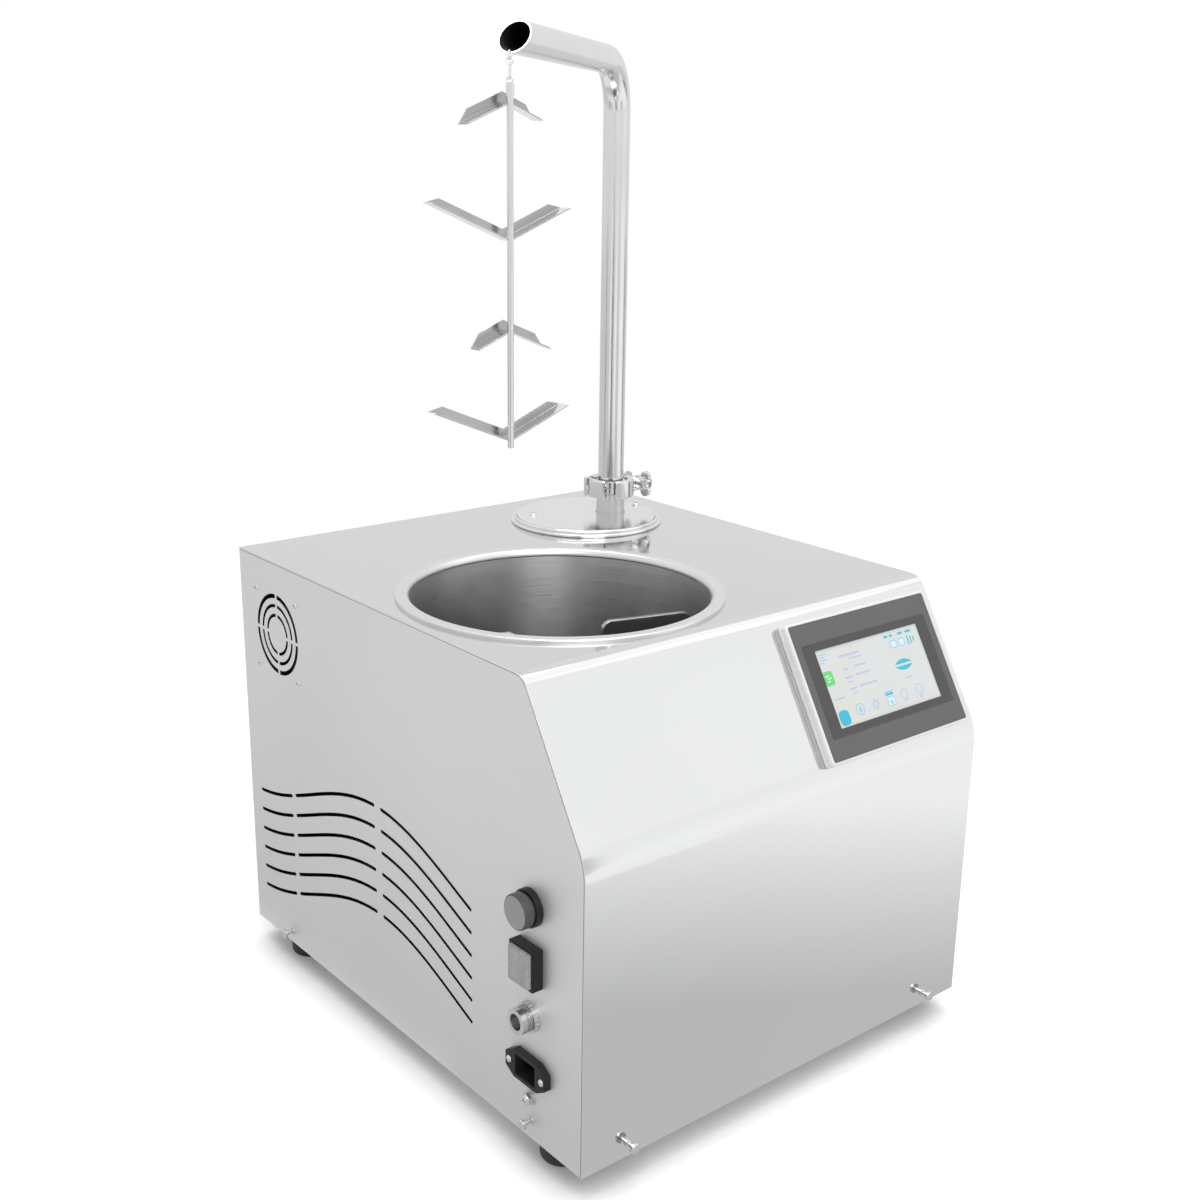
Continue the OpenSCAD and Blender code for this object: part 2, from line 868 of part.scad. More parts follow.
module shaft_bearing() {
    color("goldenrod") at_tank(floor_z - tank_wall - bearing_h) difference() {
        tube(bearing_r, shaft_r + shaft_fit, bearing_h);
        translate([0, 0, bearing_h - seal_down]) cylinder(r = seal_r + shaft_fit, h = seal_down + 1);
    }
}

module stirrer_shaft() {
    color("silver") at_tank(motor_top - shaft_in)
        cylinder(r = shaft_r, h = floor_z + paddle_gap + hub_h - 4 - motor_top + shaft_in);
}

module stirrer_paddle() {
    low = floor_z + paddle_gap;
    high = top_z - paddle_drop;
    color("lightgray") at_tank() rotate([0, 0, paddle_turn]) difference() {
        union() {
            translate([0, 0, low]) cylinder(r = hub_r, h = hub_h);
            translate([0, 0, low]) block(2 * paddle_in + 20, paddle_t, 18);
            for (a = [0, 180])
                rotate([0, 0, a]) translate([paddle_in, paddle_t / 2, low]) rotate([90, 0, 0])
                    linear_extrude(paddle_t) round_rect(paddle_out - paddle_in, high - low, paddle_k);
        }
        translate([0, 0, low - 1]) cylinder(r = shaft_r + shaft_fit, h = hub_h - 3);
    }
}

// Gear motor hanging under Z = 0, with its shaft bore on the axis
module gearmotor(side, box_h, can_r, can_h) {
    difference() {
        union() {
            translate([0, 0, -box_h]) round_block(side, side, box_h, 6);
            translate([0, 0, -box_h - can_h]) cylinder(r = can_r, h = can_h);
        }
        translate([0, 0, -shaft_in - 1]) cylinder(r = shaft_r + shaft_fit, h = shaft_in + 2);
    }
}

// Bridge standing on the base tray, with its plate on top and feet turned out
module stand(x0, x1, half, top) {
    foot = 16;
    translate([x0, -half, top - stand_t]) cube([x1 - x0, 2 * half, stand_t]);
    for (s = [-1, 1])
        translate([x0, s * (half - leg_t / 2), tray_top]) {
            translate([0, -leg_t / 2, 0]) cube([x1 - x0, leg_t, top - tray_top]);
            translate([0, s * foot / 2 - foot / 2, 0]) cube([x1 - x0, foot, leg_t]);
        }
}

module stirrer_gearmotor() {
    color("dimgray") at_tank(motor_top)
        gearmotor(gearbox, gearbox_h, 33, motor_top - gearbox_h - tray_top - 20);
}

module stirrer_stand() {
    half = gearbox / 2 + 14;
    color("darkgray") at_tank() difference() {
        stand(-gearbox / 2, gearbox / 2, half, motor_top + stand_t);
        translate([0, 0, motor_top - 1]) cylinder(r = shaft_r + 4, h = stand_t + 2);
    }
}

// Pump

module suction_pipe() {
    start = tank_r + tank_wall / 4;
    color("silver") at_pump(start, 0, suction_z) rotate([0, 90, 0]) tube(suction_r, port_r, pump_x0 - start);
}

module pump_block(z, h) {
    at_pump(pump_x0, -pump_half, z) cube([pump_x1 - pump_x0, 2 * pump_half, h]);
}

module pump_body() {
    color("gray") difference() {
        pump_block(pump_z, pump_top - pump_z);
        for (y = [-pitch_r, pitch_r]) {
            at_pump(gear_x, y, chamber_z) cylinder(r = chamber_r, h = chamber_h + 1);
            at_pump(gear_x, y, pump_z - 1) cylinder(r = shaft_r + shaft_fit, h = pump_floor + 2);
        }
        at_pump(pump_x0 - 1, 0, suction_z) rotate([0, 90, 0]) cylinder(r = port_r, h = gear_x - pump_x0);
        at_pump(gear_x, 0, suction_z) rotate([0, 90, 0]) cylinder(r = port_r, h = pump_reach - gear_x);
        at_pump(pump_reach, 0, suction_z) cylinder(r = port_r, h = pump_top - suction_z + 1);
        each_lid_bolt() drill(m4 + shaft_fit, lid_t + 11);
    }
}

module pump_lid() {
    color("silver") difference() {
        pump_block(pump_top, lid_t);
        at_pump(pump_reach, 0, pump_top - 1) cylinder(r = port_r, h = lid_t + 2);
        each_lid_bolt() drill(m4_hole, lid_t + 1);
    }
}

// Outline of one gear, with a tooth on the X axis
module gear_outline() {
    pitch = 360 / gear_teeth;
    tip = 0.32 * gear_m;
    low = 1.05 * gear_m;
    circle(root_r);
    for (i = [0:gear_teeth - 1])
        rotate(i * pitch) polygon([[root_r - 2, -low], [tip_r, -tip], [tip_r, tip], [root_r - 2, low]]);
}

module gear(shaft_low) {
    translate([0, 0, chamber_z + gear_gap]) linear_extrude(gear_h) gear_outline();
    translate([0, 0, shaft_low]) cylinder(r = shaft_r, h = chamber_z + 1 - shaft_low);
}

module drive_gear() {
    color("lightgray") at_pump(gear_x, -pitch_r) rotate([0, 0, 90]) gear(pump_z - stand_t - shaft_in);
}

module idler_gear() {
    color("lightgray") at_pump(gear_x, pitch_r) rotate([0, 0, 90 + 180 / gear_teeth]) gear(pump_z);
}

module pump_gearmotor() {
    color("dimgray") at_pump(gear_x, -pitch_r, pump_z - stand_t)
        gearmotor(2 * (pump_half - pitch_r), 50, 26, pump_z - stand_t - 50 - tray_top - 20);
}

module pump_stand() {
    half = pump_half + leg_t + 1;
    color("darkgray") at_pump() difference() {
        stand(pump_x0, pump_x1, half, pump_z);
        for (y = [-pitch_r, pitch_r])
            translate([gear_x, y, pump_z - stand_t - 1]) cylinder(r = shaft_r + 2, h = stand_t + 2);
    }
}

module pump_cover() {
    step = cover_t * 0.5;
    color("whitesmoke") difference() {
        translate([cover_x, cover_y, top_z]) rotate_extrude() {
            square([cover_r - step / 2, step]);
            translate([cover_r - step / 2, step / 2]) circle(step / 2);
            square([cover_r - 2 * step, cover_t]);
            square([cover_r - step, cover_t - step / 2]);
            translate([cover_r - step * 1.5, cover_t - step / 2]) circle(step / 2);
        }
        at_stub(top_z - 1) cylinder(r = stub_r + seam, h = cover_t + 2);
        each_cover_bolt() drill(m4_hole, cover_t + 1);
    }
}

module discharge_stub() {
    wall = 2;
    bead = 1;
    face = clamp_z - gasket_t / 2;
    color("silver") at_stub() difference() {
        union() {
            translate([0, 0, lid_top]) cylinder(r = stub_r, h = face - lid_top);
            translate([0, 0, lid_top]) cylinder(r = riser_seat - 1, h = 4);
            translate([0, 0, cover_top]) cylinder(r = stub_r + bead, h = bead);
            translate([0, 0, face - ferrule_t]) cylinder(r = ferrule_r, h = ferrule_t);
        }
        translate([0, 0, lid_top - 1]) cylinder(r = stub_r - wall, h = face - lid_top + 2);
    }
}

module clamp_gasket() {
    color("white") at_stub(clamp_z - gasket_t / 2) tube(ferrule_r, stub_r - 2, gasket_t);
}

// Clamp

module clamp_arc(from, to) {
    slot = ferrule_t + gasket_t / 2 + ring_gap;
    rotate([0, 0, from]) rotate_extrude(angle = to - from) difference() {
        translate([clamp_lip, -clamp_h / 2]) round_rect(clamp_r - clamp_lip, clamp_h, 2);
        translate([0, -slot]) square([ferrule_r + ring_gap, 2 * slot]);
    }
}

// Hinge eye at a plan angle, tied to the arc that lies on its side
module clamp_eye(turn, side, low, h) {
    arm = 5.5;
    rotate([0, 0, turn]) translate([hinge_r, 0, low]) {
        cylinder(r = knuckle_r, h = h);
        translate([-2, side > 0 ? 0 : -arm, 0]) cube([knuckle_r + 0.5, arm, h]);
    }
}

module clamp_pin_hole(turn) {
    rotate([0, 0, turn]) translate([hinge_r, 0, -clamp_h])
        cylinder(r = clamp_pin_r + shaft_fit, h = 2 * clamp_h);
}

module outer_eyes(turn, side) {
    h = clamp_h / 2 - third - 2 * eye_gap;
    clamp_eye(turn, side, third + eye_gap, h);
    clamp_eye(turn, side, eye_gap - clamp_h / 2, h);
}

module inner_eye(turn, side) {
    clamp_eye(turn, side, -third, 2 * third);
}

module clamp_front() {
    ear_h = 14;
    color("silver") at_clamp() difference() {
        union() {
            clamp_arc(arc_end - hinge_turn, -ear_end);
            outer_eyes(-hinge_turn, 1);
            translate([ferrule_r + 1, -ear_y1, -ear_h / 2])
                cube([ear_r + 2 - ferrule_r, ear_y1 - ear_y0, ear_h]);
        }
        translate([ear_r - bolt_r - ring_gap, -ear_y1 - 1, -bolt_r - ring_gap])
            cube([20, ear_y1 - ear_y0 + 2, 2 * (bolt_r + ring_gap)]);
        clamp_pin_hole(-hinge_turn);
    }
}

module clamp_left() {
    color("silver") at_clamp() difference() {
        union() {
            clamp_arc(hinge_turn + arc_end, 360 - hinge_turn - arc_end);
            inner_eye(-hinge_turn, -1);
            inner_eye(hinge_turn, 1);
        }
        clamp_pin_hole(-hinge_turn);
        clamp_pin_hole(hinge_turn);
    }
}

module clamp_rear() {
    lug = bolt_r + 1;
    lug_h = 4;
    color("silver") at_clamp() difference() {
        union() {
            clamp_arc(ear_end, hinge_turn - arc_end);
            outer_eyes(hinge_turn, -1);
            for (z = [eye_half + ring_gap, -eye_half - ring_gap - lug_h])
                translate([0, 0, z]) {
                    translate([ferrule_r + 1, bolt_pivot - lug + 0.5, 0])
                        cube([ear_r - ferrule_r - 1, 2 * lug - 1, lug_h]);
                    translate([ear_r, bolt_pivot, 0]) cylinder(r = lug, h = lug_h);
                }
        }
        clamp_pin_hole(hinge_turn);
        translate([ear_r, bolt_pivot, -clamp_h]) cylinder(r = clamp_pin_r + shaft_fit, h = 2 * clamp_h);
    }
}

module clamp_pins() {
    color("gray") at_clamp() {
        for (a = [-1, 1])
            rotate([0, 0, a * hinge_turn]) translate([hinge_r, 0, -clamp_h / 2])
                cylinder(r = clamp_pin_r, h = clamp_h);
        translate([ear_r, bolt_pivot, -clamp_h / 2]) cylinder(r = clamp_pin_r, h = clamp_h);
    }
}

module swing_bolt() {
    len = bolt_pivot + ear_y1 + nut_gap + nut_h - 1;
    color("silver") at_clamp() translate([ear_r, bolt_pivot, 0]) difference() {
        union() {
            translate([0, 0, -eye_half]) cylinder(r = bolt_r + 1, h = 2 * eye_half);
            rotate([90, 0, 0]) cylinder(r = bolt_r, h = len);
        }
        translate([0, 0, -eye_half - 1]) cylinder(r = clamp_pin_r + shaft_fit, h = 2 * eye_half + 2);
    }
}

module wing_nut() {
    hub = bolt_r + 4.5;
    dish = 3;
    wing = 5;
    wing_t = 4;
    color("silver") at_clamp() translate([ear_r, -ear_y1 - nut_gap, 0]) rotate([90, 0, 0]) difference() {
        union() {
            cylinder(r = hub, h = nut_h);
            for (s = [-1, 1])
                translate([-wing_t / 2, s * hub, nut_h - 2]) rotate([0, 90, 0])
                    cylinder(r = wing, h = wing_t);
        }
        translate([0, 0, nut_h - dish]) cylinder(r = hub - 2, h = 20);
        translate([0, 0, -1]) cylinder(r = bolt_r + shaft_fit, h = nut_h + 20);
    }
}

// Spout

// Places a child at the start of the arm, with Z along it and X down
module at_arm() {
    translate([arm_x0, 0, arm_z0]) rotate([0, elbow_turn, 0]) children();
}

// Upright, elbow and arm of one round bar
module bent_bar(r, low, len) {
    translate([0, 0, low]) cylinder(r = r, h = arm_z - elbow_r - low);
    translate([elbow_r, 0, arm_z - elbow_r]) rotate([90, 0, 0]) rotate([0, 0, 180 - elbow_turn])
        rotate_extrude(angle = elbow_turn) translate([elbow_r, 0]) circle(r + elbow_swell);
    at_arm() cylinder(r = r, h = len);
}

module spout_pipe() {
    face = clamp_z + gasket_t / 2 + face_gap;
    color("silver") at_spout() difference() {
        union() {
            bent_bar(pipe_r, face, arm_len + 2 * pipe_r);
            translate([0, 0, face]) cylinder(r = ferrule_r, h = ferrule_t);
        }
        bent_bar(bore_r, face - 1, arm_len + 3 * pipe_r);
        at_arm() translate([0, 0, arm_len]) rotate([0, -lip_cut, 0]) translate([0, 0, 3 * pipe_r])
            cube(6 * pipe_r, center = true);
        at_arm() translate([bore_r / 2, 0, bridge_s - bridge / 2 - eyelet_r]) rotate([0, 90, 0])
            cylinder(r = eyelet_r, h = pipe_r);
    }
}

// Ring of round wire in a vertical plane along the arm, or across it
module wire_ring(z, r, across) {
    at_hang(z) rotate([90, 0, across ? 90 : 0]) rotate_extrude() translate([r, 0]) circle(wire_r);
}

module upper_ring() {
    color("silver") wire_ring(ring_a_z, ring_a, false);
}

module lower_ring() {
    color("silver") wire_ring(ring_b_z, ring_b, true);
}

module long_link() {
    color("silver") at_hang(link_z) rotate([90, 0, 0]) {
        rotate_extrude(angle = 180) translate([link_w, 0]) circle(wire_r);
        translate([0, -link_len, 0]) rotate([0, 0, 180]) rotate_extrude(angle = 180)
            translate([link_w, 0]) circle(wire_r);
        for (x = [-link_w, link_w])
            translate([x, 0, 0]) rotate([90, 0, 0]) cylinder(r = wire_r, h = link_len);
    }
}

module vane_rod() {
    color("silver") {
        wire_ring(eye_z, eye_r, true);
        at_hang(rod_top - rod_len) cylinder(r = rod_r, h = rod_len);
        at_hang(rod_top - sleeve_h) cylinder(r = rod_r + sleeve_t, h = sleeve_h);
    }
}

// One folded angle strip running out along X, flat below and upright behind, with a slanted tip
module vane(len, slope) {
    run = len / cos(slope);
    big = 4 * vane_long;
    intersection() {
        rotate([0, -slope, 0]) difference() {
            translate([-vane_flat, 0, 0]) rotate([90, 0, 90]) linear_extrude(run + 3 * vane_flat) polygon([
                [-vane_flat, 0],
                [0, 0],
                [0, vane_back],
                [-vane_t, vane_back],
                [-vane_t, vane_t],
                [-vane_flat, vane_t]
            ]);
            translate([run, 0, 0]) rotate([0, -vane_cut, 0]) translate([0, -big / 2, -big / 2]) cube(big);
        }
        translate([0, -big / 2, -big / 2]) cube(big);
    }
}

// Pair of strips mitred behind the rod, with their flats notched to seat on it
module vane_tier(drop, right, left, slope) {
    color("lightgray") at_hang(rod_top - drop) difference() {
        rotate([0, 0, vane_turn]) translate([0, vane_off, 0]) {
            vane(right, slope);
            mirror([1, 0, 0]) vane(left, slope);
        }
        translate([0, 0, -2 * vane_flat]) cylinder(r = rod_r + weld_gap, h = 4 * vane_flat);
    }
}

module vane_tier_1() {
    vane_tier(tier_1, vane_short_b, vane_short, -vane_slope);
}

module vane_tier_2() {
    vane_tier(tier_2, vane_long_b, vane_long, vane_slope);
}

module vane_tier_3() {
    vane_tier(tier_3, vane_short, vane_short_b, -vane_slope);
}

module vane_tier_4() {
    vane_tier(tier_4, vane_long_b, vane_long, vane_slope);
}

// Display

module display_housing() {
    color("whitesmoke") on_slope() difference() {
        union() {
            round_block(hmi_w, hmi_h, hmi_out, 3);
            translate([0, 0, -hmi_deep]) block(hmi_w - 2 * hmi_step, hmi_h - 2 * hmi_step, hmi_deep + 1);
        }
        translate([0, 0, hmi_out - face_t])
            block(hmi_w - 2 * hmi_border, hmi_h - 2 * hmi_border, face_t + 1);
        translate([0, 0, hmi_out - face_t - panel_t])
            block(screen_w + 2 * hmi_wall, screen_h + 2 * hmi_wall, panel_t + 1);
        translate([0, 0, -hmi_deep + hmi_wall])
            block(hmi_w - 2 * hmi_step - 2 * hmi_wall, hmi_h - 2 * hmi_step - 2 * hmi_wall, hmi_deep - 1);
    }
}

module display_face() {
    color("dimgray") on_slope() translate([0, 0, hmi_out - face_t]) difference() {
        block(hmi_w - 2 * hmi_border - seam, hmi_h - 2 * hmi_border - seam, face_t - 0.2);
        translate([0, 0, -1]) block(screen_w, screen_h, face_t + 2);
    }
}

module display_screen() {
    color("lightcyan") on_slope() translate([0, 0, hmi_out - face_t - panel_t])
        block(screen_w + 2 * hmi_wall - seam, screen_h + 2 * hmi_wall - seam, panel_t);
}

// Left side controls

module button_bezel() {
    inside = 24;
    color("black") on_left(control_y, base_z + button_up) difference() {
        union() {
            cylinder(r = button_r, h = button_ring);
            translate([0, 0, -inside]) cylinder(r = button_neck, h = inside + 1);
            translate([0, 0, -sheet - 4]) cylinder(r = button_r, h = 4, $fn = 6);
            translate([0, 0, -inside - 14]) block(2 * button_r, 2 * button_r, 15);
        }
        translate([0, 0, 1 - inside]) cylinder(r = button_bore + shaft_fit, h = inside + button_ring);
    }
}

module button_cap() {
    stem = 10;
    color("gray") on_left(control_y, base_z + button_up) {
        translate([0, 0, button_ring + button_travel]) cylinder(r = button_r - cap_in, h = button_cap_h);
        translate([0, 0, button_ring - stem]) cylinder(r = button_bore, h = stem + button_travel + 1);
    }
}

module rocker_frame() {
    cavity = rocker_w - 2;
    color("black") on_left(control_y, base_z + rocker_up) difference() {
        union() {
            round_block(rocker_h, rocker_w, rocker_out, 1);
            translate([0, 0, -rocker_deep]) block(rocker_h - 3, rocker_w - 3, rocker_deep + 1);
        }
        translate([0, 0, -rocker_deep + 6])
            block(rocker_key_h + 3, rocker_key_w + 1.2, rocker_deep + rocker_out);
        translate([0, -cavity / 2, rocker_pin_out]) rotate([-90, 0, 0])
            cylinder(r = rocker_pin + shaft_fit, h = cavity);
    }
}

// Seesaw key, tipped to its off side at rest
module rocker_key() {
    pin = rocker_w / 2 - 2;
    color("dimgray") on_left(control_y, base_z + rocker_up) translate([0, 0, rocker_pin_out])
        rotate([0, rocker_tilt, 0]) {
            rotate([90, 0, 0]) translate([0, 0, -rocker_key_w / 2]) linear_extrude(rocker_key_w) polygon([
                [-rocker_key_h / 2, -2],
                [0, -5],
                [rocker_key_h / 2, -2],
                [rocker_key_h / 2, 6.5],
                [0, 5],
                [-rocker_key_h / 2, 6.5]
            ]);
            rotate([90, 0, 0]) translate([0, 0, -pin]) cylinder(r = rocker_pin, h = 2 * pin);
        }
}

module rocker_hood() {
    wide = rocker_w - 2 * hood_in;
    tall = rocker_h - 2 * hood_in;
    color("lightgray", 0.5) on_left(control_y, base_z + rocker_up) translate([0, 0, rocker_out])
        difference() {
            round_block(tall, wide, hood_h, 2);
            translate([0, 0, -1]) block(tall - 2 * hood_t, wide - 2 * hood_t, hood_h + 1 - hood_t);
        }
}

// Fluted nut on the panel, then thread rings and a smooth collar with the mouth
module pedal_socket() {
    inside = 12;
    flutes = 20;
    rings = 3;
    ring_step = (socket_out - socket_collar - socket_nut_h) / rings;
    color("silver") on_left(control_y, base_z + socket_up) difference() {
        union() {
            cylinder(r = socket_nut, h = socket_nut_h);
            translate([0, 0, -inside]) cylinder(r = socket_neck, h = inside + socket_out - 2);
            for (i = [0:rings - 1])
                translate([0, 0, socket_nut_h + (i + 0.3) * ring_step])
                    cylinder(r = socket_r, h = ring_step * 0.55);
            translate([0, 0, socket_out - socket_collar + 0.4])
                cylinder(r = socket_r, h = socket_collar - 0.4);
            translate([0, 0, -sheet - 3]) cylinder(r = socket_nut, h = 3, $fn = 6);
        }
        for (i = [0:flutes - 1])
            rotate([0, 0, i * 360 / flutes]) translate([socket_nut + 0.3, 0, 0.8])
                cylinder(r = 0.8, h = socket_nut_h);
        translate([0, 0, 2]) cylinder(r = socket_neck - 2.5, h = socket_out);
    }
}

module power_inlet() {
    cut = 6;
    color("black") on_left(control_y, base_z + inlet_up) difference() {
        union() {
            linear_extrude(inlet_t) polygon([
                [-inlet_h / 2, -inlet_cav_w / 2 - 2],
                [-cut, -inlet_w / 2],
                [cut, -inlet_w / 2],
                [inlet_h / 2, -inlet_cav_w / 2 - 2],
                [inlet_h / 2, inlet_cav_w / 2 + 2],
                [cut, inlet_w / 2],
                [-cut, inlet_w / 2],
                [-inlet_h / 2, inlet_cav_w / 2 + 2]
            ]);
            translate([0, 0, -inlet_deep - 3]) block(inlet_h - 4, inlet_cav_w + 4, inlet_deep + 4);
        }
        translate([0, 0, -inlet_deep]) block(inlet_cav_h, inlet_cav_w, inlet_deep + inlet_t + 1);
        for (a = [-1, 1])
            translate([0, a * inlet_pitch / 2, -1]) cylinder(r = m3_hole, h = inlet_t + 2);
        each_inlet_pin() block(2 + seam, 4 + seam, 30);
    }
}

module each_inlet_pin() {
    for (p = [[2, 0], [-2, 7], [-2, -7]])
        translate([p[0], p[1], -inlet_deep - 10]) children();
}

module inlet_pins() {
    color("goldenrod") on_left(control_y, base_z + inlet_up) each_inlet_pin() block(2, 4, inlet_deep + 5);
}

module earth_terminal() {
    color("silver") on_left(control_y, base_z + earth_up) {
        cylinder(r = 6, h = 1.2);
        translate([0, 0, 1]) cylinder(r = 5.2, h = 3.7, $fn = 6);
        translate([0, 0, 4.7]) screw(m4, m4_head, m4_head_h, 16);
        translate([0, 0, -sheet - 3]) cylinder(r = 3.5, h = 3, $fn = 6);
    }
}

// Cooling fan

module fan_frame() {
    hub = fan_hub - 1;
    color("black") on_left(fan_y, fan_z) translate([0, 0, -sheet - fan_depth]) {
        difference() {
            block(fan_size, fan_size, fan_depth);
            translate([0, 0, -1]) cylinder(r = fan_bore, h = fan_depth + 2);
            for (a = [-1, 1], b = [-1, 1])
                translate([a * fan_pitch / 2, b * fan_pitch / 2, -1])
                    cylinder(r = m3_hole, h = fan_depth + 2);
        }
        cylinder(r = hub, h = 3);
        cylinder(r = fan_pin, h = fan_depth - 6);
        for (a = [0, 90])
            rotate([0, 0, a]) block(2 * fan_bore + 1, 4, 3);
    }
}

module fan_rotor() {
    blade_h = fan_depth - 11;
    color("dimgray") on_left(fan_y, fan_z) translate([0, 0, 4 - sheet - fan_depth]) difference() {
        union() {
            cylinder(r = fan_hub, h = fan_depth - 7);
            for (i = [0:fan_blades - 1])
                rotate([0, 0, i * 360 / fan_blades]) translate([0, -1, 1.5]) rotate([40, 0, 0])
                    translate([fan_hub - 2, 0, 0]) cube([fan_bore - 2.5 - fan_hub, 1.6, blade_h]);
        }
        translate([0, 0, -1]) cylinder(r = fan_pin + shaft_fit, h = fan_depth - 8.5);
    }
}

// Electrics on the base tray

module control_board() {
    edge = board_w / 18;
    color("seagreen") translate([inner_l + board_in, inner_b - board_in - board_d, tray_top]) {
        translate([0, 0, board_post]) cube([board_w, board_d, board_post / 5]);
        for (x = [edge, board_w - edge], y = [edge, board_d - edge])
            translate([x, y, 0]) cylinder(r = board_post * 0.4, h = board_post * 1.05);
        translate([board_w / 7, board_d / 4, board_post * 1.1])
            cube([board_w / 4, board_d * 0.4, board_post * 1.6]);
        translate([board_w * 0.55, board_d / 5, board_post * 1.1])
            cube([board_w / 3, board_d / 5, board_post * 2.2]);
    }
}

module power_supply() {
    color("gray") translate([inner_l + 2 * board_in + board_w, inner_b - board_in - supply_d, tray_top])
        cube([supply_w, supply_d, supply_h]);
}

wrap_shell();
left_panel();
right_panel();
rear_panel();
base_tray();
rubber_feet();
foot_bolts();
cabinet_screws();
small_screws();
tank_bowl();
heater_band();
insulation_jacket();
temperature_sensor();
shaft_seal();
shaft_bearing();
stirrer_shaft();
stirrer_paddle();
stirrer_gearmotor();
stirrer_stand();
suction_pipe();
pump_body();
pump_lid();
drive_gear();
idler_gear();
pump_gearmotor();
pump_stand();
pump_cover();
discharge_stub();
clamp_gasket();
clamp_front();
clamp_left();
clamp_rear();
clamp_pins();
swing_bolt();
wing_nut();
spout_pipe();
upper_ring();
lower_ring();
long_link();
vane_rod();
vane_tier_1();
vane_tier_2();
vane_tier_3();
vane_tier_4();
display_housing();
display_face();
display_screen();
button_bezel();
button_cap();
rocker_frame();
rocker_key();
rocker_hood();
pedal_socket();
power_inlet();
inlet_pins();
earth_terminal();
fan_frame();
fan_rotor();
control_board();
power_supply();
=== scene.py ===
import json
import math

import bmesh
import bpy
from mathutils import Matrix, Vector

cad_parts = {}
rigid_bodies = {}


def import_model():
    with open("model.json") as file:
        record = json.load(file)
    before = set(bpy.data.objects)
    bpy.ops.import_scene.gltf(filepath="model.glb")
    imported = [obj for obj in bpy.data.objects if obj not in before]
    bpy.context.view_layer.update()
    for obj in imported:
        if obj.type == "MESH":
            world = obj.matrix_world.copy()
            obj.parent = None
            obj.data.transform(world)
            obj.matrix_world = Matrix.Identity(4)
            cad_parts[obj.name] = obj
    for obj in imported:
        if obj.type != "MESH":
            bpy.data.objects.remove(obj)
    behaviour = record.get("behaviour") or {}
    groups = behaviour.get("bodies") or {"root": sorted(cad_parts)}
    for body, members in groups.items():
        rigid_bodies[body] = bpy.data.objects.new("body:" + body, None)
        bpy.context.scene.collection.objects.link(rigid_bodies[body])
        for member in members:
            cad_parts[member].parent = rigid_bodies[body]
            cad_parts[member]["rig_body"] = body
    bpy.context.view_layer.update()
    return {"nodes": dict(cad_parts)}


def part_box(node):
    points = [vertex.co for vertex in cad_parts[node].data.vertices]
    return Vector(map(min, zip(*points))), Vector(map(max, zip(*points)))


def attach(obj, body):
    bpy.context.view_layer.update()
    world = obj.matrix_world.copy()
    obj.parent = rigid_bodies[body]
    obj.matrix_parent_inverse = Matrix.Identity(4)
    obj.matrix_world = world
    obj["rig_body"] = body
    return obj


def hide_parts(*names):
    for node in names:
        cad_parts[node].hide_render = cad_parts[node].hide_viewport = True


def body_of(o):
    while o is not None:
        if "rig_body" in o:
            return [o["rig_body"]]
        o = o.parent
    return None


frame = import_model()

nodes = frame["nodes"]
print("frame loaded:", len(nodes), "nodes")


# Node helpers

def link(tree, source, out, target, into):
    tree.links.new(source.outputs[out], target.inputs[into])


def wire(tree, rows):
    for row in rows:
        link(tree, *row)


def add(tree, kind, **values):
    node = tree.nodes.new(kind)
    for key, value in values.items():
        setattr(node, key, value)
    return node


def setValues(node, values):
    for key, value in values.items():
        node.inputs[key].default_value = value


def newGroup(name, inputs, outputs):
    tree = bpy.data.node_groups.new(name, "ShaderNodeTree")
    for label, kind, value in inputs:
        socket = tree.interface.new_socket(label, in_out="INPUT", socket_type=kind)
        socket.default_value = value
    for label in outputs:
        tree.interface.new_socket(label, in_out="OUTPUT", socket_type="NodeSocketFloat")
    return tree, tree.nodes.new("NodeGroupInput"), tree.nodes.new("NodeGroupOutput")


def noise(tree, detail, rough=0.55):
    node = add(tree, "ShaderNodeTexNoise")
    setValues(node, {"Scale": 1.0, "Detail": detail, "Roughness": rough})
    return node


# Long straight marks left by a belt, with slow cloudy changes over the sheet
def makeBrushed():
    tree, inp, out = newGroup("brushedMarks", [
        ("Scale", "NodeSocketVector", (30.0, 900.0, 900.0)),
        ("Cloud", "NodeSocketFloat", 6.0),
    ], ["Grain", "Blotch"])
    place = add(tree, "ShaderNodeTexCoord")
    stretch = add(tree, "ShaderNodeVectorMath", operation="MULTIPLY")
    fine = noise(tree, 3.0)
    cloud = noise(tree, 2.0)
    wire(tree, [
        (place, "Object", stretch, 0), (inp, "Scale", stretch, 1), (stretch, 0, fine, "Vector"),
        (place, "Object", cloud, "Vector"), (inp, "Cloud", cloud, "Scale"), (fine, "Fac", out, "Grain"),
        (cloud, "Fac", out, "Blotch"),
    ])
    return tree


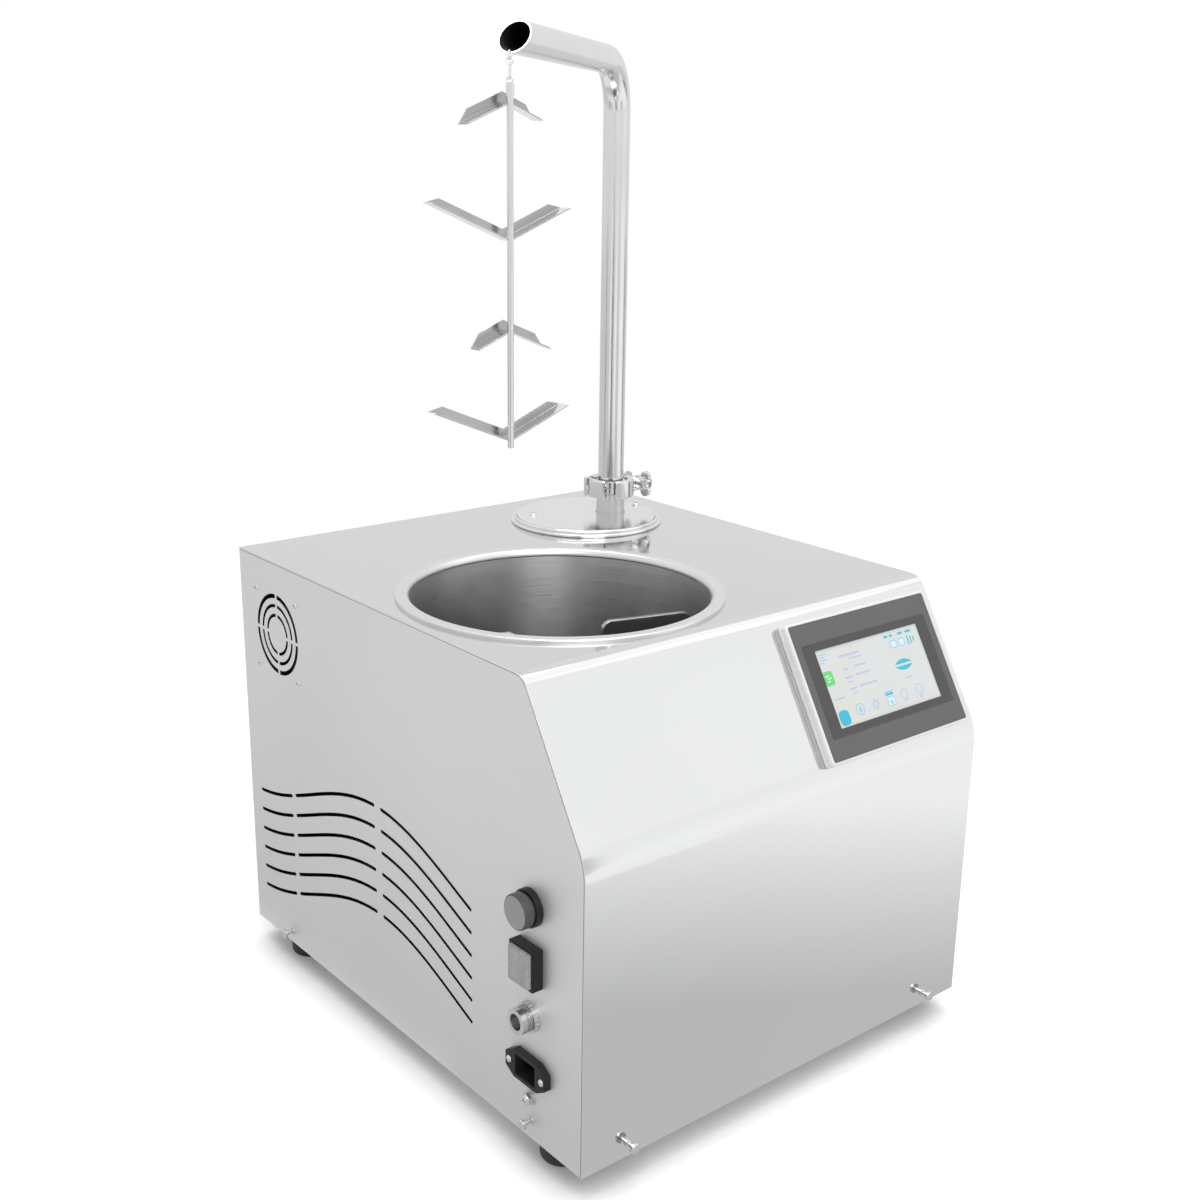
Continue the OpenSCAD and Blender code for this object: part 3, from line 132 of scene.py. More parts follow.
# Marks that run round an upright axis, as on turned or spun metal
def makeSpun():
    tree, inp, out = newGroup("spunMarks", [
        ("Centre", "NodeSocketVector", (0.0, 0.0, 0.0)),
        ("Fine", "NodeSocketFloat", 1500.0),
        ("Cloud", "NodeSocketFloat", 8.0),
    ], ["Grain", "Blotch"])
    place = add(tree, "ShaderNodeTexCoord")
    offset = add(tree, "ShaderNodeVectorMath", operation="SUBTRACT")
    flat = add(tree, "ShaderNodeVectorMath", operation="MULTIPLY")
    flat.inputs[1].default_value = (1.0, 1.0, 0.0)
    radius = add(tree, "ShaderNodeVectorMath", operation="LENGTH")
    turn = add(tree, "ShaderNodeVectorMath", operation="NORMALIZE")
    parts = add(tree, "ShaderNodeSeparateXYZ")
    both = add(tree, "ShaderNodeCombineXYZ")
    lines = add(tree, "ShaderNodeVectorMath", operation="SCALE")
    drift = add(tree, "ShaderNodeVectorMath", operation="SCALE")
    drift.inputs["Scale"].default_value = 2.5
    total = add(tree, "ShaderNodeVectorMath", operation="ADD")
    fine = noise(tree, 2.0)
    cloud = noise(tree, 2.0)
    wire(tree, [
        (place, "Object", offset, 0), (inp, "Centre", offset, 1), (offset, 0, flat, 0), (flat, 0, radius, 0),
        (flat, 0, turn, 0), (offset, 0, parts, 0), (radius, "Value", both, "X"), (parts, "Z", both, "Y"),
        (both, 0, lines, 0), (inp, "Fine", lines, "Scale"), (turn, 0, drift, 0), (lines, 0, total, 0),
        (drift, 0, total, 1), (total, 0, fine, "Vector"), (place, "Object", cloud, "Vector"),
        (inp, "Cloud", cloud, "Scale"), (fine, "Fac", out, "Grain"), (cloud, "Fac", out, "Blotch"),
    ])
    return tree


# Faint wiped patches and finger marks
def makeSmudges():
    tree, inp, out = newGroup("smudges", [
        ("Scale", "NodeSocketFloat", 14.0),
    ], ["Smudge"])
    place = add(tree, "ShaderNodeTexCoord")
    wide = noise(tree, 3.0, rough=0.65)
    wide.inputs["Distortion"].default_value = 0.8
    shape = add(tree, "ShaderNodeMapRange")
    setValues(shape, {"From Min": 0.45, "From Max": 0.75})
    wire(tree, [
        (place, "Object", wide, "Vector"), (inp, "Scale", wide, "Scale"), (wide, "Fac", shape, "Value"),
        (shape, "Result", out, "Smudge"),
    ])
    return tree


# Fine spark-eroded texture of a moulded or cast face, with a slow change of tone
def makeMoulded():
    tree, inp, out = newGroup("mouldedSkin", [
        ("Scale", "NodeSocketFloat", 1800.0),
        ("Cloud", "NodeSocketFloat", 40.0),
    ], ["Pits", "Tone"])
    place = add(tree, "ShaderNodeTexCoord")
    pits = noise(tree, 2.0, rough=0.7)
    tone = noise(tree, 3.0)
    wire(tree, [
        (place, "Object", pits, "Vector"), (inp, "Scale", pits, "Scale"), (place, "Object", tone, "Vector"),
        (inp, "Cloud", tone, "Scale"), (pits, "Fac", out, "Pits"), (tone, "Fac", out, "Tone"),
    ])
    return tree


groups = {
    "brushed": makeBrushed(),
    "spun": makeSpun(),
    "smudges": makeSmudges(),
    "moulded": makeMoulded(),
}
print("node groups made:", len(groups))


def useGroup(tree, name, **values):
    node = add(tree, "ShaderNodeGroup", node_tree=groups[name])
    setValues(node, {key.capitalize(): value for key, value in values.items()})
    return node


def startMaterial(name):
    mat = bpy.data.materials.new(name)
    mat.use_nodes = True
    tree = mat.node_tree
    return mat, tree, tree.nodes["Principled BSDF"]


def mixColours(tree, dark, light):
    node = add(tree, "ShaderNodeMix", data_type="RGBA")
    setValues(node, {"A": (*dark, 1.0), "B": (*light, 1.0)})
    return node


def colourOut(node):
    return next(s for s in node.outputs if s.type == "RGBA")


def linkColour(tree, node, target, into):
    tree.links.new(colourOut(node), target.inputs[into])


def spread(tree, low, high, fromLow=0.3, fromHigh=0.7):
    node = add(tree, "ShaderNodeMapRange")
    setValues(node, {"From Min": fromLow, "From Max": fromHigh, "To Min": low, "To Max": high})
    return node


def setBump(tree, shader, source, out, strength, depth):
    bump = add(tree, "ShaderNodeBump")
    setValues(bump, {"Strength": strength, "Distance": depth})
    link(tree, source, out, bump, "Height")
    link(tree, bump, "Normal", shader, "Normal")


# A mask that comes and goes along one axis of the frame, from rows of place and share; it places painted
# shade
def makeShade(name, axis, rows):
    tree, _, out = newGroup(name, [], ["Shade"])
    place = add(tree, "ShaderNodeTexCoord")
    parts = add(tree, "ShaderNodeSeparateXYZ")
    curve = add(tree, "ShaderNodeValToRGB")
    low, high = rows[0][0], rows[-1][0]
    share = spread(tree, 0.0, 1.0, low, high)
    points = curve.color_ramp.elements
    while len(points) < len(rows):
        points.new(0.5)
    for point, (at, value) in zip(points, rows):
        point.position = (at - low) / (high - low)
        point.color = (value, value, value, 1.0)
    wire(tree, [
        (place, "Object", parts, 0), (parts, axis, share, "Value"), (share, "Result", curve, "Fac"),
        (curve, "Color", out, "Shade"),
    ])
    return tree


# Steel with brushed or spun marks: tone and roughness drift, the marks are in the normal
def steel(name, look):
    look = {**steelBase, **steelLooks.get(look.get("like"), {}), **look}
    mat, tree, shader = startMaterial(name)
    shader.inputs["Metallic"].default_value = 1.0
    marks = useGroup(tree, look["marks"], **look["marksAt"])
    tone = mixColours(tree, *look["tones"])
    link(tree, marks, "Blotch", tone, "Factor")
    # Painted shade: where a look has a shade mask, the tone goes towards the mask's dark colour
    if "shade" in look:
        plain, tone = tone, mixColours(tree, (0.0, 0.0, 0.0), look["shade"]["tone"])
        linkColour(tree, plain, tone, "A")
        link(tree, useGroup(tree, look["shade"]["mask"]), "Shade", tone, "Factor")
    linkColour(tree, tone, shader, "Base Color")
    dull = useGroup(tree, "smudges", scale=look["smudge"])
    base = spread(tree, *look["gloss"])
    total = add(tree, "ShaderNodeMath", operation="MULTIPLY_ADD")
    total.inputs[1].default_value = look["dulling"]
    wire(tree, [
        (marks, "Grain", base, "Value"), (dull, "Smudge", total, 0), (base, "Result", total, 2),
        (total, 0, shader, "Roughness"),
    ])
    setBump(tree, shader, marks, "Grain", look["bump"], look["depth"])
    setValues(shader, look.get("set", {}))
    return mat


def setTone(tree, shader, scale, cloud, tones):
    skin = useGroup(tree, "moulded", scale=scale, cloud=cloud)
    tone = mixColours(tree, *tones)
    link(tree, skin, "Tone", tone, "Factor")
    linkColour(tree, tone, shader, "Base Color")
    return skin, tone


def setGloss(tree, shader, source, out, limits):
    gloss = spread(tree, *limits)
    link(tree, source, out, gloss, "Value")
    link(tree, gloss, "Result", shader, "Roughness")


# Plastic, rubber, paint and cloth: pits in the normal, tone and gloss drift
def moulded(name, look):
    look = {**mouldedBase, **look}
    mat, tree, shader = startMaterial(name)
    skin = setTone(tree, shader, look["pits"], look["cloud"], look["tones"])[0]
    setGloss(tree, shader, skin, "Tone", look["gloss"])
    setBump(tree, shader, skin, "Pits", look["bump"], look["depth"])
    setValues(shader, look.get("set", {}))
    return mat


def upAxis(node):
    low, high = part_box(node)
    return ((low.x + high.x) / 2, (low.y + high.y) / 2, 0.0)


tankLow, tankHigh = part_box("tank_bowl")
tankAxis, coverAxis, stubAxis = (upAxis(node) for node in ("tank_bowl", "pump_cover", "clamp_gasket"))
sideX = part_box("left_panel")[0].x
# Painted shade: the walls of the side panel's vent slots are painted near black, as the slots' shaded insides
groups["slotShade"] = makeShade("slotShade", "X", [
    (sideX + 0.0001, 0.0), (sideX + 0.0002, 1.0), (sideX + 0.0013, 1.0), (sideX + 0.0014, 0.0),
])
# Painted shade: the tank's wall darkens towards its floor, as shade deep in the bowl
groups["depthShade"] = makeShade("depthShade", "Z", [
    (tankLow.z, 0.9), (tankHigh.z - 0.09, 0.66), (tankHigh.z - 0.006, 0.0),
])

steelBase = {"marks": "brushed", "smudge": 40.0, "dulling": 0.05, "bump": 0.05, "depth": 0.00005}
steelLooks = {
    "wrapSteel": {
        "marksAt": {"scale": (14.0, 1500.0, 1500.0), "cloud": 3.0},
        "tones": ((0.64, 0.645, 0.65), (0.69, 0.695, 0.70)), "gloss": (0.06, 0.10), "smudge": 9.0,
        "dulling": 0.03, "bump": 0.03,
    },
    "panelSteel": {
        "marksAt": {"scale": (1500.0, 14.0, 1500.0), "cloud": 4.0},
        "tones": ((0.66, 0.663, 0.666), (0.72, 0.723, 0.726)), "gloss": (0.50, 0.57), "smudge": 8.0,
        "dulling": 0.04, "bump": 0.06,
        # painted shade in the vent slots
        "shade": {"mask": "slotShade", "tone": (0.015, 0.015, 0.015)},
    },
    "rearSteel": {
        "marksAt": {"scale": (14.0, 1500.0, 1500.0), "cloud": 4.0},
        "tones": ((0.58, 0.585, 0.59), (0.64, 0.645, 0.65)), "gloss": (0.28, 0.36), "smudge": 8.0,
        "dulling": 0.04, "bump": 0.06,
    },
    "tankSteel": {
        "marks": "spun", "marksAt": {"centre": tankAxis, "fine": 1400.0, "cloud": 10.0},
        "tones": ((0.78, 0.785, 0.79), (0.88, 0.885, 0.89)), "gloss": (0.27, 0.35), "smudge": 12.0,
        "bump": 0.25, "depth": 0.0002, "set": {"Anisotropic": 0.85, "Anisotropic Rotation": 0.25},
        # painted shade deep in the bowl
        "shade": {"mask": "depthShade", "tone": (0.13, 0.132, 0.135)},
    },
    "coverSteel": {
        "marks": "spun", "marksAt": {"centre": coverAxis, "fine": 1100.0, "cloud": 10.0},
        "tones": ((0.70, 0.705, 0.71), (0.78, 0.785, 0.79)), "gloss": (0.08, 0.14), "smudge": 16.0,
        "dulling": 0.04, "bump": 0.03,
    },
    "stubSteel": {
        "marks": "spun", "marksAt": {"centre": stubAxis, "fine": 2200.0, "cloud": 20.0},
        "tones": ((0.52, 0.52, 0.525), (0.64, 0.64, 0.64)), "gloss": (0.07, 0.15), "smudge": 30.0,
    },
    "brightSteel": {
        "marksAt": {"scale": (500.0, 500.0, 60.0), "cloud": 25.0},
        "tones": ((0.70, 0.70, 0.705), (0.82, 0.82, 0.82)), "gloss": (0.07, 0.14), "bump": 0.04,
    },
    "clampSteel": {
        "like": "brightSteel", "tones": ((0.54, 0.54, 0.545), (0.76, 0.76, 0.76)), "gloss": (0.05, 0.12),
    },
    "socketSteel": {
        "marksAt": {"scale": (300.0, 900.0, 900.0), "cloud": 50.0},
        "tones": ((0.48, 0.48, 0.485), (0.74, 0.74, 0.74)), "gloss": (0.22, 0.36), "smudge": 60.0,
        "dulling": 0.06, "bump": 0.1, "depth": 0.0001,
    },
    # Painted shade: the paddle's steel is made dark, as shaded inside the tank
    "paddlePaintedShade": {
        "like": "brightSteel", "tones": ((0.34, 0.34, 0.345), (0.46, 0.46, 0.465)), "gloss": (0.10, 0.18),
    },
    "rimSteel": {
        "marks": "spun", "marksAt": {"centre": tankAxis, "fine": 1200.0, "cloud": 14.0},
        "tones": ((0.64, 0.645, 0.65), (0.72, 0.725, 0.73)), "gloss": (0.26, 0.36), "smudge": 14.0,
        "dulling": 0.04, "bump": 0.04,
    },
    "pipeSteel": {
        "marksAt": {"scale": (420.0, 420.0, 26.0), "cloud": 18.0},
        "tones": ((0.62, 0.62, 0.625), (0.70, 0.70, 0.705)), "gloss": (0.15, 0.22), "smudge": 30.0,
    },
    # Painted shade: dark steel inside the spout's bore and in a band under the tank's collar
    "borePaintedShade": {
        "marksAt": {"scale": (300.0, 300.0, 80.0), "cloud": 40.0},
        "tones": ((0.10, 0.105, 0.10), (0.18, 0.185, 0.18)), "gloss": (0.35, 0.5), "dulling": 0.1,
        "bump": 0.1, "depth": 0.0001,
    },
    # Vane steel in a painted-shade copy for upright faces and a painted-highlight copy for faces that point
    # up or down
    "vaneSteel": {
        "marksAt": {"scale": (40.0, 700.0, 700.0), "cloud": 16.0},
        "tones": ((0.24, 0.24, 0.245), (0.50, 0.50, 0.50)), "gloss": (0.14, 0.24), "smudge": 45.0,
        "dulling": 0.06, "bump": 0.06,
    },
    "vanePaintedHighlight": {
        "like": "vaneSteel", "tones": ((0.72, 0.72, 0.725), (0.84, 0.84, 0.84)), "gloss": (0.12, 0.20),
        "dulling": 0.05,
    },
    "weldSteel": {
        "marksAt": {"scale": (700.0, 700.0, 700.0), "cloud": 160.0},
        "tones": ((0.22, 0.21, 0.19), (0.50, 0.49, 0.46)), "gloss": (0.2, 0.4), "smudge": 90.0,
        "dulling": 0.1, "bump": 0.2, "depth": 0.0001,
    },
    "plainSteel": {
        "marksAt": {"scale": (300.0, 300.0, 60.0), "cloud": 20.0},
        "tones": ((0.42, 0.42, 0.43), (0.55, 0.55, 0.56)), "gloss": (0.32, 0.48), "smudge": 25.0,
        "dulling": 0.08, "bump": 0.1, "depth": 0.0001,
    },
    "screwSteel": {
        "marksAt": {"scale": (900.0, 900.0, 900.0), "cloud": 60.0},
        "tones": ((0.55, 0.55, 0.55), (0.72, 0.72, 0.71)), "gloss": (0.16, 0.30), "smudge": 80.0,
        "dulling": 0.08, "bump": 0.08,
    },
    "heaterBrass": {
        "marks": "spun", "marksAt": {"centre": tankAxis, "fine": 700.0, "cloud": 20.0},
        "tones": ((0.42, 0.30, 0.14), (0.62, 0.46, 0.22)), "gloss": (0.30, 0.45), "smudge": 20.0,
        "dulling": 0.08, "bump": 0.1, "depth": 0.0001,
    },
    "pinBrass": {
        "marksAt": {"scale": (300.0, 900.0, 900.0), "cloud": 80.0},
        "tones": ((0.60, 0.50, 0.30), (0.78, 0.68, 0.42)), "gloss": (0.18, 0.30), "smudge": 60.0,
        "dulling": 0.06, "bump": 0.06,
    },
}
mouldedBase = {"pits": 1500.0, "cloud": 70.0, "bump": 0.12, "depth": 0.0002}
mouldedLooks = {
    "blackRubber": {
        "tones": ((0.012, 0.012, 0.012), (0.026, 0.026, 0.026)), "gloss": (0.62, 0.82), "pits": 900.0,
        "cloud": 60.0, "bump": 0.3, "depth": 0.0003,
    },
    "whiteRubber": {
        "tones": ((0.70, 0.69, 0.66), (0.80, 0.79, 0.76)), "gloss": (0.45, 0.6), "pits": 1200.0,
        "cloud": 80.0, "bump": 0.15,
    },
    "jacketCloth": {
        "tones": ((0.50, 0.45, 0.32), (0.66, 0.60, 0.45)), "gloss": (0.85, 0.98), "pits": 350.0,
        "cloud": 30.0, "bump": 0.7, "depth": 0.001,
    },
    "sensorWhite": {
        "tones": ((0.66, 0.66, 0.64), (0.76, 0.76, 0.74)), "gloss": (0.35, 0.5), "cloud": 90.0, "bump": 0.1,
    },
    "motorPaint": {
        "tones": ((0.035, 0.037, 0.04), (0.06, 0.062, 0.066)), "gloss": (0.40, 0.58), "pits": 600.0,
        "cloud": 25.0, "bump": 0.3, "depth": 0.0003,
    },
    "blackPlastic": {
        "tones": ((0.014, 0.014, 0.015), (0.026, 0.026, 0.028)), "gloss": (0.28, 0.42), "pits": 1600.0,
        "set": {"Specular IOR Level": 0.15},
    },
    "capGrey": {
        "tones": ((0.058, 0.058, 0.060), (0.078, 0.078, 0.080)), "gloss": (0.40, 0.52),
    },
    "capFace": {
        "tones": ((0.27, 0.27, 0.275), (0.32, 0.32, 0.325)), "gloss": (0.46, 0.58),
    },
    "caseWhite": {
        "tones": ((0.74, 0.74, 0.735), (0.80, 0.80, 0.795)), "gloss": (0.30, 0.42), "cloud": 30.0,
        "bump": 0.06,
    },
    "faceGrey": {
        "tones": ((0.088, 0.088, 0.086), (0.112, 0.112, 0.108)), "gloss": (0.34, 0.46), "pits": 1800.0,
        "cloud": 18.0, "bump": 0.06,
    },
    "borderGrey": {
        "tones": ((0.044, 0.044, 0.045), (0.056, 0.056, 0.057)), "gloss": (0.34, 0.44), "pits": 1800.0,
        "cloud": 18.0, "bump": 0.03, "depth": 0.0001,
    },
    "boardGreen": {
        "tones": ((0.020, 0.090, 0.045), (0.035, 0.150, 0.075)), "gloss": (0.30, 0.5), "pits": 500.0,
        "cloud": 120.0, "bump": 0.2, "depth": 0.0003,
    },
    "keyGrey": {
        "tones": ((0.10, 0.10, 0.10), (0.14, 0.14, 0.14)), "gloss": (0.25, 0.4), "bump": 0.1,
    },
}
materials = {name: steel(name, look) for name, look in steelLooks.items()}
materials.update({name: moulded(name, look) for name, look in mouldedLooks.items()})


# Lit panel: a pale ground that is a little uneven, as a backlight is
litLook = {
    "pits": 2500.0, "cloud": 14.0, "glow": 0.32, "gloss": (0.16, 0.24), "bump": 0.02, "depth": 0.0001,
}
screenColours = {
    "screenPale": ((0.50, 0.49, 0.45), (0.53, 0.57, 0.60)),
    "iconCyan": ((0.02, 0.33, 0.47), (0.03, 0.42, 0.56)),
    "iconGreen": ((0.08, 0.48, 0.11), (0.12, 0.58, 0.15)),
    "iconBlue": ((0.22, 0.40, 0.58), (0.28, 0.47, 0.64)),
    "iconLilac": ((0.36, 0.38, 0.56), (0.42, 0.44, 0.60)),
    "iconPale": ((0.46, 0.62, 0.66), (0.52, 0.68, 0.71)),
}


def makeScreen(name, tones):
    mat, tree, shader = startMaterial(name)
    skin, tone = setTone(tree, shader, litLook["pits"], litLook["cloud"], tones)
    linkColour(tree, tone, shader, "Emission Color")
    shader.inputs["Emission Strength"].default_value = litLook["glow"]
    setGloss(tree, shader, skin, "Tone", litLook["gloss"])
    setBump(tree, shader, skin, "Pits", litLook["bump"], litLook["depth"])
    return mat


materials.update({name: makeScreen(name, tones) for name, tones in screenColours.items()})


# Frosted clear plastic of the switch's dust hood
hoodLook = {
    "pits": 300.0, "cloud": 110.0, "tones": ((0.30, 0.30, 0.30), (0.60, 0.60, 0.60)), "clear": 0.25,
    "ior": 1.4, "gloss": (0.22, 0.42), "bump": 0.15, "depth": 0.0006,
}


def makeHood():
    mat, tree, shader = startMaterial("hoodClear")
    skin = setTone(tree, shader, hoodLook["pits"], hoodLook["cloud"], hoodLook["tones"])[0]
    setValues(shader, {"Transmission Weight": hoodLook["clear"], "IOR": hoodLook["ior"]})
    setGloss(tree, shader, skin, "Pits", hoodLook["gloss"])
    setBump(tree, shader, skin, "Pits", hoodLook["bump"], hoodLook["depth"])
    return mat


materials["hoodClear"] = makeHood()
print("materials made:", len(materials))

finishes = {
    "wrapSteel": ["wrap_shell"],
    "panelSteel": ["left_panel", "right_panel"],
    "rearSteel": ["rear_panel", "base_tray"],
    "tankSteel": ["tank_bowl"],
    "coverSteel": ["pump_cover"],
    "stubSteel": ["discharge_stub"],
    "clampSteel": ["clamp_front", "clamp_left", "clamp_rear", "clamp_pins", "swing_bolt", "wing_nut"],
    "pipeSteel": ["vane_rod", "spout_pipe"],
    "brightSteel": ["upper_ring", "lower_ring", "long_link", "stirrer_shaft"],
    "paddlePaintedShade": ["stirrer_paddle"],
    "socketSteel": ["pedal_socket"],
    "vaneSteel": ["vane_tier_1", "vane_tier_2", "vane_tier_3", "vane_tier_4"],
    "plainSteel": ["stirrer_stand", "suction_pipe", "pump_body", "pump_lid", "pump_stand", "drive_gear",
                   "idler_gear", "power_supply"],
    "screwSteel": ["cabinet_screws", "small_screws", "foot_bolts", "earth_terminal"],
    "heaterBrass": ["heater_band"],
    "pinBrass": ["inlet_pins", "shaft_bearing"],
    "jacketCloth": ["insulation_jacket"],
    "sensorWhite": ["temperature_sensor"],
    "blackRubber": ["rubber_feet", "shaft_seal"],
    "whiteRubber": ["clamp_gasket"],
    "motorPaint": ["stirrer_gearmotor", "pump_gearmotor"],
    "blackPlastic": ["button_bezel", "rocker_frame", "power_inlet", "fan_frame", "fan_rotor"],
    "capGrey": ["button_cap"],
    "keyGrey": ["rocker_key"],
    "caseWhite": ["display_housing"],
    "faceGrey": ["display_face"],
    "screenPale": ["display_screen"],
    "hoodClear": ["rocker_hood"],
    "boardGreen": ["control_board"],
}
for finish, names in finishes.items():
    for name in names:
        slots = nodes[name].data.materials
        slots.clear()
        slots.append(materials[finish])
bare = sorted(set(nodes) - {n for names in finishes.values() for n in names})
print("finishes given, nodes without one:", bare)


# Mesh helpers
def solidObject(work, name):
    bmesh.ops.recalc_face_normals(work, faces=work.faces)
    mesh = bpy.data.meshes.new(name)
    work.to_mesh(mesh)
    work.free()
    obj = bpy.data.objects.new(name, mesh)
    bpy.context.scene.collection.objects.link(obj)
    return obj


def newPiece(work, name, finish, body, stands=(), sharp=35.0):
    obj = solidObject(work, name)
    for each in finish:
        obj.data.materials.append(materials[each])
    smoothPiece(obj, sharp)
    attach(obj, body)
    if stands:
        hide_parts(*stands)
    return obj


def smoothPiece(obj, sharp):
    obj.data.polygons.foreach_set("use_smooth", [True] * len(obj.data.polygons))
    obj.data.set_sharp_from_angle(angle=math.radians(sharp))
    even = obj.modifiers.new("evenNormals", "WEIGHTED_NORMAL")
    even.keep_sharp = True


def lathe(work, profile, place, count=96, slots=None, closed=True):
    rings = []
    for r, z in profile:
        turns = [0.0] if r < 1e-7 else [2 * math.pi * k / count for k in range(count)]
        rings.append([work.verts.new(place @ Vector((r * math.cos(t), r * math.sin(t), z))) for t in turns])
    pairs = list(zip(rings, rings[1:])) + ([(rings[-1], rings[0])] if closed else [])
    for i, (a, b) in enumerate(pairs):
        if len(a) == 1 and len(b) == 1:
            continue
        for k in range(count):
            n = (k + 1) % count
            if len(a) == 1:
                corners = (a[0], b[k], b[n])
            elif len(b) == 1:
                corners = (a[k], b[0], a[n])
            else:
                corners = (a[k], b[k], b[n], a[n])
            work.faces.new(corners).material_index = slots[i] if slots else 0


def roundedLoop(w, h, k, steps=6):
    loop = []
    for cx, cy, start in ((1, 1, 0), (-1, 1, 90), (-1, -1, 180), (1, -1, 270)):
        for i in range(steps + 1):
            t = math.radians(start + 90 * i / steps)
            loop.append((cx * (w / 2 - k) + k * math.cos(t), cy * (h / 2 - k) + k * math.sin(t)))
    return loop


def joinRings(work, a, b, slot=0):
    for k in range(len(a)):
        n = (k + 1) % len(a)
        work.faces.new((a[k], a[n], b[n], b[k])).material_index = slot


def loft(work, loops, slots=None, closed=False):
    rings = [[work.verts.new(p) for p in loop] for loop in loops]
    pairs = list(zip(rings, rings[1:])) + ([(rings[-1], rings[0])] if closed else [])
    for i, (a, b) in enumerate(pairs):
        joinRings(work, a, b, slots[i] if slots else 0)
    if not closed:
        work.faces.new(rings[0][::-1])
        work.faces.new(rings[-1])


def shell(work, outside, inside):
    rims = []
    for loops in (outside, inside):
        rings = [[work.verts.new(p) for p in loop] for loop in loops]
        for a, b in zip(rings, rings[1:]):
            joinRings(work, a, b)
        work.faces.new(rings[-1])
        rims.append(rings[0])
    joinRings(work, *rims)


def framed(place, loop, z):
    return [place @ Vector((x, y, z)) for x, y in loop]


def arcPoints(cx, cy, r, start, end, steps):
    turns = [math.radians(start + (end - start) * i / steps) for i in range(steps + 1)]
    return [(cx + r * math.cos(t), cy + r * math.sin(t)) for t in turns]


def frameOf(x, y, z, at):
    return Matrix(((x.x, y.x, z.x, at[0]), (x.y, y.y, z.y, at[1]), (x.z, y.z, z.z, at[2]), (0, 0, 0, 1)))


# A tool that is cut out of a piece and then thrown away
def cutTool(build):
    work = bmesh.new()
    build(work)
    return solidObject(work, "tool")


def cutAway(obj, tools):
    obj.modifiers.clear()
    for tool in tools:
        cut = obj.modifiers.new("cut", "BOOLEAN")
        cut.operation = "DIFFERENCE"
        cut.solver = "EXACT"
        cut.object = tool
    graph = bpy.context.evaluated_depsgraph_get()
    mesh = bpy.data.meshes.new_from_object(obj.evaluated_get(graph))
    obj.modifiers.clear()
    mesh.name = obj.name
    obj.data = mesh
    for tool in tools:
        bpy.data.objects.remove(tool)


def roundTool(r, place, low, high, count=48):
    profile = [(0, low), (r, low), (r, high), (0, high)]
    return cutTool(lambda work: lathe(work, profile, place, count, closed=False))


def boxCentre(node):
    low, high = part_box(node)
    return (low + high) / 2


xAxis, yAxis, zAxis = Vector((1, 0, 0)), Vector((0, 1, 0)), Vector((0, 0, 1))
shellLow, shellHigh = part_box("wrap_shell")
leftX, rightX, frontY, backY = shellLow.x, shellHigh.x, shellLow.y, shellHigh.y
baseZ, topZ = shellLow.z, shellHigh.z
stub = boxCentre("clamp_gasket")
tankMid = boxCentre("tank_bowl")


def onLeft(y, z):
    return frameOf(zAxis, yAxis, -xAxis, (leftX, y, z))


def upright(x, y):
    return Matrix.Translation((x, y, 0.0))


# Cabinet's front, slope and top: one sheet with smooth bends, holes for what passes through it
skin = {
    "sheet": 0.0015, "slopeBack": 0.0725, "slopeDrop": 0.1205, "topBend": 0.016, "lowBend": 0.050,
    "steps": 36, "windowW": 0.1543, "windowH": 0.1023, "tankGap": 0.0025, "stubHole": 0.015,
    "screwHole": 0.0022, "screwIn": 0.044, "screwUp": 0.0115, "screwSides": 20,
    "bolts": ((0.0215, 150), (0.010, 0)),  # inset, turn
    "edge": 0.00025, "edgeTurn": 1.0, "windowCorner": 0.0005, "tankSides": 128, "topDrill": 0.01,
    "frontDrill": 0.006, "screenOut": 0.006, "sharp": 35.0,
}
slope = math.atan2(skin["slopeDrop"], skin["slopeBack"])
slopeOut = Vector((0.0, -math.sin(slope), math.cos(slope)))
slopeUp = Vector((0.0, math.cos(slope), math.sin(slope)))
lowRun = skin["lowBend"] * math.tan(math.pi / 4 - slope / 2)
topRun = skin["topBend"] * math.tan(slope / 2)
lowMid = (frontY + skin["lowBend"], topZ - skin["slopeDrop"] - lowRun)
topMid = (frontY + skin["slopeBack"] + topRun, topZ - skin["topBend"])
display = frameOf(xAxis, slopeUp, slopeOut, boxCentre("display_screen") - slopeOut * skin["screenOut"])


def sheetLine(inset):
    turn = 90 + math.degrees(slope)
    return ([(frontY + inset, baseZ)]
            + arcPoints(*lowMid, skin["lowBend"] - inset, 180, turn, skin["steps"])
            + arcPoints(*topMid, skin["topBend"] - inset, turn, 90, skin["steps"])
            + [(backY, topZ - inset)])


